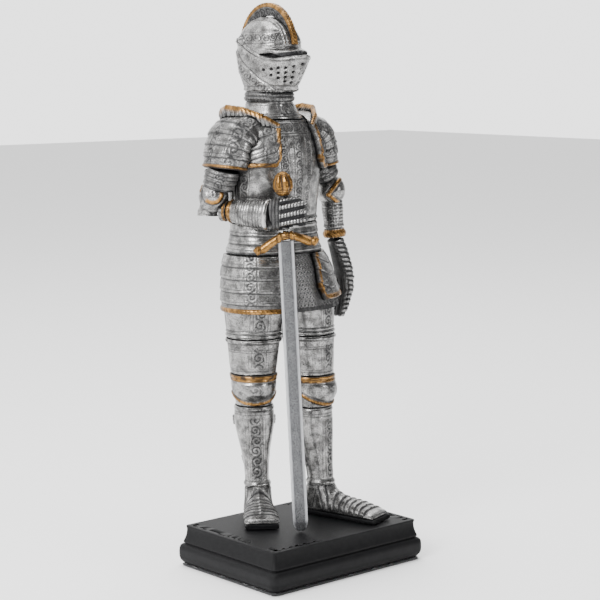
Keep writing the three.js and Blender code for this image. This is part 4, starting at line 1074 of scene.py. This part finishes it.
def make_helmet():
    path = [(NECK[0], NECK[1], 194.55), (NECK[0], NECK[1] - 0.6, 223.9)]
    shells = ["helmet_skull", "visor", "bevor"]
    skin = wrap(shells, path, FRONT, harmonics=22, rough_rows=60, detail=0.24, blur=1.0)
    near = folded(skin.points)
    z = skin.points[:, 2]
    aside = np.abs(skin.points[:, 0] - NECK[0])

    edge, along = stroke(near, VISOR_EDGE)
    across, height = layout(near)
    lift = smooth(0.1, -0.2, edge) * smooth(214.02, 212.38, height)
    skin.swell(0.45, lift)
    band = smooth(-3.0, -2.7, edge) * smooth(-0.5, -0.8, edge) * smooth(212.38, 210.74, height)
    skin.carve(0.14, band * scroll(edge + 1.8, along, 3.0), 0.8)
    skin.carve(0.16, ridge(edge - 0.35, 0.5) * (height < 214.02), 0.9)
    skin.swell(0.16, ridge(edge + 3.2, 0.5) * (height < 211.56))
    skin.carve(0.1, ridge(edge + 3.7, 0.4) * (height < 210.74), 0.6)

    top, along = stroke(near, VISOR_TOP)
    skin.swell(0.25, ridge(top, 0.8))
    skin.carve(0.12, ridge(top - 0.8, 0.45), 0.7)
    skin.carve(0.12, ridge(top + 0.75, 0.4), 0.7)
    strip = smooth(-0.9, -1.1, top) * smooth(-2.9, -2.6, top) * (edge < -3.6)
    skin.carve(0.12, strip * scroll(np.abs(top) - 1.9, along, 2.2), 0.7)

    slit, along = stroke(near, SIGHT)
    taper = 0.35 + 0.55 * smooth(0.0, 5.0, along)
    ahead = skin.points[:, 1] < NECK[1] - 1
    gap = smooth(taper + 0.16, taper - 0.16, np.abs(slit)) * ahead
    skin.height = np.where(gap > 0.02, skin.height * (1 - gap), skin.height)
    skin.carve(2.6, gap, 1.0)
    skin.bright *= 1 - gap
    line = np.array([(-16.8, 210.49), (-10.66, 210.16), (-4.51, 210.74), (-0.41, 211.39), (4.1, 212.05)])
    above = height - np.interp(across, line[:, 0], line[:, 1])
    shadow = smooth(1.19, 0.9, above) * smooth(-1.48, -1.15, above) * smooth(-15.98, -13.52, across) * ahead
    skin.dark = np.maximum(skin.dark, shadow)
    skin.bright *= 1 - shadow
    arm_edge = smooth(0.35, 0.05, np.abs(top + 0.75)) * (across < -15.16) * (height > 209.51) * (aside > 3)
    skin.carve(0.35, arm_edge, 1.0)

    brow, along = stroke(near, BROW_BAND)
    skin.carve(0.14, smooth(1.5, 1.2, np.abs(brow)) * scroll(brow, along, 3.0), 0.8)
    for place in (-1.8, 1.8):
        skin.swell(0.18, ridge(brow - place, 0.5))
        skin.carve(0.12, ridge(brow - place * 1.28, 0.4), 0.75)

    crown = smooth(0, 2, z - 212)
    for place, size in ((2.4, 0.9), (3.7, 0.8)):
        skin.swell(0.35, ridge(aside - place, size) * crown)
        skin.carve(0.2, ridge(aside - place - 0.62, 0.5) * crown, 0.85)
    face = skin.points[:, 1] < NECK[1] - 3
    for place in sum(BREATH_COLUMNS, []):
        away = np.hypot(across - place[0], height - place[1])
        skin.carve(1.0, smooth(0.66, 0.5, away) * face, 1.0)
        skin.swell(0.1, ridge(away - 0.85, 0.35) * face)
    away = np.hypot(across - VISOR_PIVOT[0], height - VISOR_PIVOT[1])
    skin.swell(1.1, np.sqrt(np.clip(1 - (away / 1.7) ** 2, 0, 1)) * (aside > 6))
    skin.dark = np.maximum(skin.dark, 0.85 * ridge(away - 1.9, 0.5) * (aside > 6))
    skin.swell(0.5, ridge(z - 195.4, 1.3))
    skin.carve(0.16, ridge(z - 196.6, 0.5), 0.8)
    piece("helmet_shell", skin, SILVER, shells)

    comb = cast("helmet_comb", rounds=10, size=0.24)
    middle = np.array([NECK[0], NECK[1] + 0.6, 194.4 + 0.55 * 29.7])
    dy, dz = comb.points[:, 1] - middle[1], comb.points[:, 2] - middle[2]
    reach = np.hypot(dy / 17.2, dz / (230.0 - middle[2]))
    angle = np.arctan2(dz, dy)
    inward = (1 - reach) * 18.0
    arc = angle * 18.0
    side = smooth(0.5, 0.8, np.abs(comb.normals[:, 0]))
    comb.gild(smooth(1.9, 1.5, inward))
    groove = smooth(0.4, 0.9, np.cos(TAU * (arc + 0.6 * np.abs(comb.points[:, 0] - NECK[0])) / 1.5))
    comb.carve(0.14, groove * smooth(1.2, 0.9, inward), 0.6)
    comb.carve(0.16, ridge(inward - 1.75, 0.4) * side, 0.85)
    comb.carve(0.3, side * smooth(2.0, 2.3, inward) * scroll(inward - 3.9, arc, 3.4), 0.95)
    comb.dark = np.maximum(comb.dark, 0.5 * side * smooth(2.0, 2.3, inward))
    comb.height -= 0.12
    piece("helmet_comb_fin", comb, STEEL, "helmet_comb")


make_helmet()


# ---------------------------------------------------------------- arms
HALF_SPAN = 24.5
SHOULDER_Z = 178.1
ARM_Y = 13.4


ARMS = {
    "right": {
        "sign": -1, "elbow": (-31.1, 17.6, 147.7),
        "rise": 4.8, "wrist": (-20.8, -6.0, 146.2), "split": 0.27,
    },
    "left": {
        "sign": 1, "elbow": (28.5, 13.2, 152.7),
        "rise": 0.0, "wrist": (30.2, 12.5, 132.5), "split": 0.79,
    },
}
CUIRASS_FORM = wrap(
    ["breastplate", "backplate"], [(*WAIST, 141.85), (*CHEST, 182.9)], FRONT, harmonics=8,
    rough_rows=44,
)


def make_shoulder(hand, arm):
    sign = arm["sign"]
    route = [(-13, 2.0), (-9, 1.6), (-3.4, -1.6), (-0.6, -8), (0.4, -14.45)]
    path = [(CHEST[0] + sign * (HALF_SPAN + out), ARM_Y, SHOULDER_Z + up) for out, up in route]
    outward = np.array([sign, 0, 0.0])
    side = (sign * 0.7, 0, 0.7)
    skin = wrap(f"pauldron_{hand}", path, side, harmonics=6, reach=15.0, level=False, rough_rows=30)
    s = skin.up
    total = skin.length
    y = total - s
    face = skin.round(unit(BACK + (0.25 if sign < 0 else 0.6) * outward + np.array([0, 0, 0.3])))
    lames(skin, y, [0.6, 4.4, 8.4, 12.4, 16.2], step=0.55)
    rope(skin, y - 0.75, face, width=1.3, rise=0.4, pitch=1.5)
    for centre_line, wide in ((-1.0, 5.2), (9.5, 3.6), (-14, 4.0)):
        etched_band(skin, face - centre_line, y, wide, smooth(1.8, 2.2, y) * smooth(total - 3, total - 4, y))
    for place in (2.4, 6.4, 10.4, 14.3):
        skin.carve(0.1, ridge(y - place, 0.4), 0.55)
    piece(f"pauldron_shell_{hand}", skin, SILVER, f"pauldron_{hand}")

    if sign < 0:
        wing = plate(
            CUIRASS_FORM, CHEST, -86, -29,
            lambda s: 164.6 + 3.4 * smooth(0.35, 0.0, s) + 3.6 * smooth(0.86, 1.0, s) ** 1.6,
            lambda s: 181.4 - 1.2 * s, 2.6, 1.9,
        )
        front_edge = wing.x_back
    else:
        wing = plate(
            CUIRASS_FORM, CHEST, 38, 88,
            lambda s: 163.2 + 4.0 * smooth(0.2, 0.0, s), lambda s: 181.8 + 0 * s, 2.6, 1.9,
        )
        front_edge = wing.x
    slope = wing.y * 0.8 + 0.25 * front_edge
    lames(wing, slope, [3.2, 6.2, 9.2, 12.2], step=0.4)
    etched_band(wing, front_edge - 5.4, wing.y, 4.4, smooth(2.2, 2.6, wing.y))
    rope(wing, wing.y - 1.0, wing.x, width=2.0, rise=0.55, pitch=1.8)
    rope(wing, front_edge - 1.0, wing.y, width=2.0, rise=0.55, pitch=1.8)
    wing.dark *= 0.9
    plate_piece(f"pauldron_wing_{hand}", wing, SILVER, f"pauldron_{hand}")

    flange = cast(f"haute_piece_{hand}", rounds=60)
    _, around = stroke(flange.points, [(-32.38, 189.84), (-20.9, 186.97), (-9.02, 181.23)]) if sign < 0 else (
        0, flange.points[:, 1] * 1.0 + flange.points[:, 2] * 0.4)
    upper = smooth(-0.05, 0.25, flange.normals[:, 2])
    flange.gild(upper)
    groove = smooth(0.3, 0.9, np.cos(TAU * (around + 0.5 * flange.points[:, 2]) / 1.7))
    flange.carve(0.32, groove * (1 - upper), 0.85)
    flange.carve(0.1, groove * upper, 0.4)
    # Painted shade on the flange's faces that don't face up.
    flange.dark = np.maximum(flange.dark, 0.35 * (1 - upper))
    piece(f"haute_flange_{hand}", flange, SILVER, f"haute_piece_{hand}")


COUTER_SPOT = (-36.07, 153.36)  # middle of the right elbow's dome
LEFT_COUTER_EDGES = (
    [(18.85, 162.79), (14.75, 157.87), (11.27, 153.16)],
    [(11.27, 153.16), (14.75, 150.29), (19.26, 147.62)],
)


def make_arm(hand, arm):
    sign = arm["sign"]
    elbow = np.array(arm["elbow"])
    wrist = np.array(arm["wrist"])
    top = np.array([CHEST[0] + sign * (HALF_SPAN + 1), ARM_Y, SHOULDER_Z - 14.6])
    upper = wrap(
        f"rerebrace_{hand}", [top + (0, 0, 0.2), top + (elbow - top) * (0.46 if sign < 0 else 0.5)], FRONT,
        harmonics=6, reach=14.0, level=False, rough_rows=24,
    )
    y = upper.length - upper.up
    face = upper.round(BACK)
    lames(upper, y, [0.8, 2.9, 5.0, 7.1], step=0.5)
    etched_band(upper, face, y, 4.2, smooth(1.0, 1.4, y))
    # Painted shade: the whole rerebrace is darkened, as it sits below the pauldron.
    upper.dark = np.maximum(upper.dark, 0.35)
    piece(f"rerebrace_lames_{hand}", upper, SILVER, f"rerebrace_{hand}")

    r = 6.5
    middle = elbow + (0, 0, arm["rise"])
    dome = wrap(
        f"couter_{hand}",
        [middle - (0, 0, r + (1.0 if arm["rise"] else 0.4)), middle + (0, 0, r - 0.1)], FRONT,
        harmonics=8, reach=16.0, rough_rows=44,
    )
    across, height = layout(dome.points)
    face = dome.facing(BACK, 0.0, 0.3)
    if sign < 0:
        away = np.hypot(across - COUTER_SPOT[0], height - COUTER_SPOT[1])
        dome.swell(0.7, np.sqrt(np.clip(1 - (away / 4.4) ** 2, 0, 1)) * face)
        lower_right = smooth(-0.5, 1.2, 0.55 * (across - COUTER_SPOT[0]) - 0.83 * (height - COUTER_SPOT[1]))
        crescent = smooth(2.5, 2.8, away) * smooth(4.4, 4.2, away) * lower_right * face
        dome.gild(crescent)
        dome.carve(0.2, near_lines(away, (4.6,), 0.6) * face, 0.95)
        upper_arc = smooth(0.55, 0.35, np.abs(away - 5.6)) * (height > 154.18) * face
        dome.gild(upper_arc)
        dome.swell(0.4, upper_arc)
        dome.carve(0.14, smooth(1.2, 0.9, away) * scroll(across + 123.361, 232.869 - height, 3.0) * face, 0.8)
    else:
        for line in LEFT_COUTER_EDGES:
            away = stroke(dome.points, line)[0]
            edge = smooth(0.85, 0.6, np.abs(away)) * face
            dome.swell(0.5, edge)
            dome.gild(edge)
            dome.carve(0.18, ridge(np.abs(away) - 1.15, 0.5) * face, 0.85)
    for other in (np.array([sign * 1.0, 0.5, 0]),):
        disc = np.linalg.norm(np.cross(dome.points - middle, unit(other)), axis=1)
        out = smooth(0.1, 0.3, dome.normals @ unit(other))
        dome.swell(0.4, ridge(disc - 4.4, 1.0) * out)
        dome.carve(0.15, ridge(disc - 3.5, 0.45) * out, 0.7)
        motif = scroll(dome.points[:, 2] - middle[2], dome.points[:, 1], 5.0)
        dome.carve(0.12, smooth(3.0, 2.6, disc) * motif * out, 0.6)
    piece(f"couter_cap_{hand}", dome, SILVER, f"couter_{hand}")

    def at(t):
        return elbow + (wrist - elbow) * t

    start = 0.16 if sign < 0 else 0.22
    lower = wrap(
        f"vambrace_{hand}",
        [at(start), at(arm["split"] - 0.012)], (0, 0, 1) if sign < 0 else FRONT, harmonics=6,
        reach=12.0, level=False, rough_rows=24,
    )
    face = lower.round(BACK)
    y, total = lower.up, lower.length
    if sign < 0:
        lower.carve(0.14, scroll(face, y, 4.0) * 0.8, 0.8)
        rope(lower, y - total + 0.9, face, width=1.5, rise=0.35, pitch=1.5)
    else:
        ribs = smooth(0.2, 0.9, np.cos(TAU * y / 1.45))
        lower.carve(0.26, ribs, 0.75)
        etched_band(lower, face - 1.5, y, 3.0, 1.0)
        rope(lower, y - total + 0.8, face, width=1.4, rise=0.3, gold=0.0, pitch=1.5)
    piece(f"vambrace_shell_{hand}", lower, SILVER, f"vambrace_{hand}")

    cuff = wrap(
        f"gauntlet_cuff_{hand}",
        [at(arm["split"] + 0.018), at(0.98)], (0, 0, 1) if sign < 0 else FRONT, harmonics=6,
        reach=12.0, level=False, rough_rows=24,
    )
    face = cuff.round(BACK)
    y, total = cuff.up, cuff.length
    if sign < 0:
        cuff.swell(0.5, ridge(y - 0.9, 1.4))
        cuff.gild(smooth(1.9, 1.6, y))
        flutes = smooth(0.5, 0.9, np.cos(TAU * face / 1.4)) * smooth(1.9, 1.6, y)
        cuff.dark = np.maximum(cuff.dark, 0.6 * flutes)
        ribbed = smooth(0.27 * total, 0.3 * total, y) * smooth(total - 2.2, total - 2.6, y)
        ribs = smooth(0.0, 0.95, np.cos(TAU * y / 1.12))
        cuff.carve(0.2, ribs * ribbed, 0.7)
        cuff.swell(0.12, ribbed)
        for place in (0.27 * total, 0.62 * total):
            cuff.swell(0.3, ridge(y - place, 1.0))
            cuff.carve(0.14, near_lines(y - place, (-0.8, 0.8), 0.4), 0.8)
        cuff.swell(0.6, ridge(y - total + 1.0, 1.6))
        # Lighter, glossier end rim, partly a painted highlight.
        cuff.polish_and_highlight(ridge(y - total + 1.0, 1.2))
    else:
        cuff.swell(0.5, ridge(y - total / 2, 2.4))
        cuff.gild(smooth(total / 2, total / 2 - 0.3, np.abs(y - total / 2)))
        cuff.carve(0.16, smooth(0.4, 0.9, np.cos(TAU * (face + 0.5 * y) / 1.5)), 0.6)
    piece(f"cuff_shell_{hand}", cuff, SILVER, f"gauntlet_cuff_{hand}")


for hand, arm in ARMS.items():
    make_shoulder(hand, arm)
    make_arm(hand, arm)


# ---------------------------------------------------------------- sword
POINT = np.array([-10.3, -11.6, 17.3])
GRIP = np.array([-17.7, -10.1, 147.0])
BLADE_WAY = unit(GRIP - POINT)
EDGE_WAY = np.array([math.cos(QUARTER_AZIMUTH), math.sin(QUARTER_AZIMUTH), 0.0])
EDGE_WAY = unit(EDGE_WAY - BLADE_WAY * (EDGE_WAY @ BLADE_WAY))
FLAT_WAY = np.cross(BLADE_WAY, EDGE_WAY)
GRIP_START = np.linalg.norm(GRIP - POINT) - 6.8
GUARD_UP = GRIP_START - 1.9


def make_blade():
    outline = np.array([(-1, 0.12), (-0.9, 0.3), (-0.66, 0.86), (-0.6, 0.95), (-0.3, 1.0), (0, 1.0)])
    half = np.concatenate([outline, outline[-2::-1] * (-1, 1)])
    section = np.concatenate([half, half[::-1] * (1, -1)])
    near_tip = [[0.05, 0.15, 0.35, 0.7], np.linspace(1.1, 8, 22)]
    ups = np.concatenate([*near_tip, np.linspace(8.6, GUARD_UP - 2.3, 180)])
    rings = []
    for up in ups:
        wide = 3.1 * math.sqrt(max(0.02, 1 - max(0.0, 1 - up / 4.6) ** 2.1))
        thick = 0.96 * min(1.0, 0.35 + up / 6)
        worn = 1 - 0.012 * math.sin(up * 0.9) * math.sin(up * 0.37)
        here = POINT + BLADE_WAY * up
        rings.append([here + EDGE_WAY * s * wide * worn + FLAT_WAY * t * thick for s, t in section])
    skin = grid_skin(np.array(rings))
    across = (skin.points - POINT) @ EDGE_WAY
    # Lighter, glossier bevels: a painted highlight along both edges.
    skin.polish_and_highlight(0.9 * smooth(1.9, 2.2, np.abs(across)) * smooth(3.2, 3.0, np.abs(across)))
    skin.dark = np.maximum(skin.dark, 0.3 * ridge(np.abs(across) - 1.95, 0.25))
    skin.height += 0.03 * (noise(skin.points, 3.0) - 0.5)
    piece("sword_blade_ground", skin, BLADE, "sword_blade")


def make_hilt():
    guard = cast("sword_guard", rounds=20, size=0.22)
    out = (guard.points - POINT) @ EDGE_WAY
    up = (guard.points - POINT) @ BLADE_WAY
    flank = np.abs((guard.points - POINT) @ FLAT_WAY)
    topside = smooth(2.5, 4.0, np.abs(out)) * smooth(0, 0.2, guard.normals @ BLADE_WAY)
    guard.carve(0.2, ridge(flank - 0.75, 0.5) * topside, 0.6)
    for place in (2.4, 11.2):
        guard.swell(0.35, ridge(np.abs(out) - place, 1.1))
    guard.carve(0.18, near_lines(np.abs(out), (1.5, 3.4, 10.2), 0.45), 0.85)
    guard.carve(0.2, smooth(1.9, 1.6, np.abs(out)) * scroll(out, up, 3.4), 0.7)
    piece("sword_guard_cast", guard, GOLD, "sword_guard")

    pommel = cast("sword_pommel", rounds=20, size=0.22)
    out = (pommel.points - POINT) @ EDGE_WAY
    flat = (pommel.points - POINT) @ FLAT_WAY
    up = (pommel.points - POINT) @ BLADE_WAY
    up = up - up.min()
    turn = np.arctan2(flat, out)
    petal = np.cos(6 * turn + 0.12 * up)
    body = smooth(1.2, 2.2, up) * smooth(9.4, 8.4, up)
    pommel.height += (0.28 * petal - 0.1) * body
    pommel.carve(0.3, smooth(-0.55, -0.95, petal) * body, 0.85)
    pommel.carve(0.2, near_lines(up, (1.4, 2.3), 0.45), 0.8)
    pommel.carve(0.14, ridge(up - 8.4, 0.4), 0.7)
    piece("sword_pommel_cast", pommel, GOLD, "sword_pommel")

    grip = wrap(
        "sword_grip", [POINT + BLADE_WAY * (GUARD_UP + 2.4), POINT + BLADE_WAY * (GRIP_START + 13.45)], FRONT,
        harmonics=4, reach=8.0, level=False, rough_rows=16, detail=0.2,
    )
    x, y = grip.round(FRONT), grip.up
    grip.carve(0.3, smooth(0.2, 0.9, np.cos(TAU * (y + x * 0.12) / 0.9)), 0.8)
    piece("sword_grip_wire", grip, STEEL, "sword_grip")


make_blade()
make_hilt()


# ---------------------------------------------------------------- hands
FINGER_TOP = 154.1
FINGER_PITCH = 3.6475


def make_hands():
    fist = cast("hand_right", rounds=20, size=0.24)
    across, height = layout(fist.points)
    row = (FINGER_TOP - height + 0.22 * (across + 4.51)) / FINGER_PITCH
    part = row % 1
    wrist_side = np.array(ARMS["right"]["wrist"])
    ahead = (fist.points - wrist_side) @ unit(np.array([GRIP[0], GRIP[1], 0]) - wrist_side * (1, 1, 0))
    fingers = smooth(3.6, 4.4, ahead)
    tube = np.sqrt(np.clip(1 - (np.abs(part - 0.5) / 0.33) ** 2, 0, 1))
    fist.height += (1.15 * tube - 1.0) * fingers
    fist.dark = np.maximum(fist.dark, fingers * smooth(0.75, 0.45, tube))
    rib = ((ahead + 0.15 * row) / 1.25) % 1
    rib = np.minimum(rib, 1 - rib)
    fist.carve(0.16, smooth(0.22, 0.08, rib) * fingers * (tube > 0.2), 0.75)
    # Lighter crests on the fingers, partly a painted highlight.
    fist.bright = np.maximum(fist.bright, fingers * smooth(0.2, 0.32, rib) * smooth(0.45, 0.8, tube))
    plates = 1 - fingers
    lames(fist, -ahead, [-3.4, -1.9, -0.4], step=0.35, mask=plates)
    fist.dark = np.maximum(fist.dark, 0.55 * plates)
    fist.height -= 0.1
    piece("gauntlet_fist", fist, STEEL, "hand_right")

    palm = cast("hand_left", rounds=26, size=0.24)
    _, y0, z0 = ARMS["left"]["wrist"]
    t = (z0 - palm.points[:, 2]) / 33.5
    lateral = palm.points[:, 1] - y0
    fingers = smooth(0.5, 0.56, t)
    finger = (lateral + 4.6) / 2.45
    part = finger % 1
    tube = np.sqrt(np.clip(1 - (2 * part - 1) ** 2, 0, 1))
    palm.height += (0.7 * tube - 0.5) * fingers
    palm.dark = np.maximum(palm.dark, fingers * smooth(0.5, 0.1, tube))
    rib = ((t * 33.5 + 0.25 * np.sin(finger)) / 2.0) % 1
    outside = palm.facing((0.55, -0.8, 0), -0.35, 0.05)
    palm.carve(0.32, smooth(0.26, 0.08, np.minimum(rib, 1 - rib)) * outside, 0.85)
    # Painted highlight on the ribs that face the front.
    lit = outside * palm.facing((0.2, -1, 0), 0.4, 0.8)
    palm.polish_and_highlight(smooth(0.3, 0.45, np.minimum(rib, 1 - rib)) * lit * 0.7)
    # Painted shade on the hand's inner side, turned away from the front.
    palm.dark = np.maximum(palm.dark, 0.75 * (1 - outside) * smooth(0.06, 0.12, t))
    knuckle = ridge(t - 0.5, 0.05)
    palm.swell(0.6, knuckle * (0.4 + 0.6 * tube) * outside)
    palm.height -= 0.1
    piece("gauntlet_open", palm, STEEL, "hand_left")


make_hands()


# ---------------------------------------------------------------- hidden rods
for name in ("leg_rod_right", "leg_rod_left", "neck_peg", "shoulder_dowel_right", "shoulder_dowel_left"):
    NODES[name].data.materials.clear()
    NODES[name].data.materials.append(ROD)


# ---------------------------------------------------------------- studio
def make_stage():
    mesh = bpy.data.meshes.new("floor")
    reach = 3.0
    corners = [(x * reach, y * reach, 0) for x, y in ((-1, -1), (1, -1), (1, 1), (-1, 1))]
    mesh.from_pydata(corners, [], [(0, 1, 2, 3)])
    floor = bpy.data.objects.new("floor", mesh)
    bpy.context.scene.collection.objects.link(floor)
    paper = bpy.data.materials.new("paper")
    paper.use_nodes = True
    paper.node_tree.nodes["Principled BSDF"].inputs["Base Color"].default_value = (0.93, 0.93, 0.93, 1)
    paper.node_tree.nodes["Principled BSDF"].inputs["Roughness"].default_value = 0.9
    mesh.materials.append(paper)


def make_light(name, place, aim, size, power, colour=(1, 1, 1)):
    light = bpy.data.lights.new(name, "AREA")
    light.size = size
    light.energy = power
    light.color = colour
    made = bpy.data.objects.new(name, light)
    bpy.context.scene.collection.objects.link(made)
    made.location = place
    made.rotation_euler = (Vector(aim) - Vector(place)).to_track_quat("-Z", "Y").to_euler()


def make_studio():
    make_stage()
    world = bpy.data.worlds.new("studio")
    bpy.context.scene.world = world
    world.use_nodes = True
    tree = world.node_tree
    where = tree.nodes.new("ShaderNodeTexCoord")
    toward = tree.nodes.new("ShaderNodeVectorMath")
    toward.operation = "DOT_PRODUCT"
    toward.inputs[1].default_value = (-0.203, 0.976, 0)
    tree.links.new(where.outputs["Generated"], toward.inputs[0])
    tree.nodes["Background"].inputs["Color"].default_value = (1, 1, 1, 1)
    strength = remap(tree, toward.outputs["Value"], -0.35, 0.4, 0.22, 2.6)
    tree.links.new(strength, tree.nodes["Background"].inputs["Strength"])
    aim = (0, 0, 0.12)
    make_light("key", (-0.85, -0.30, 0.60), aim, 0.45, 13)
    make_light("fill", (0.30, -0.95, 0.30), aim, 0.25, 3)
    make_light("top", (0.1, 0.1, 1.1), aim, 0.8, 13)
    camera = bpy.data.cameras.new("camera")
    camera.sensor_width = 36
    camera.lens = 106.5
    camera.shift_x = -0.0016667
    camera.shift_y = -0.0206667
    camera.clip_start, camera.clip_end = 0.05, 20
    made = bpy.data.objects.new("camera", camera)
    bpy.context.scene.collection.objects.link(made)
    made.location = Vector((BACK * EYE_DISTANCE + EYE_AIM) * MM)
    made.rotation_mode = "QUATERNION"
    made.rotation_quaternion = Vector(-BACK).to_track_quat("-Z", "Y")
    bpy.context.scene.camera = made


make_studio()
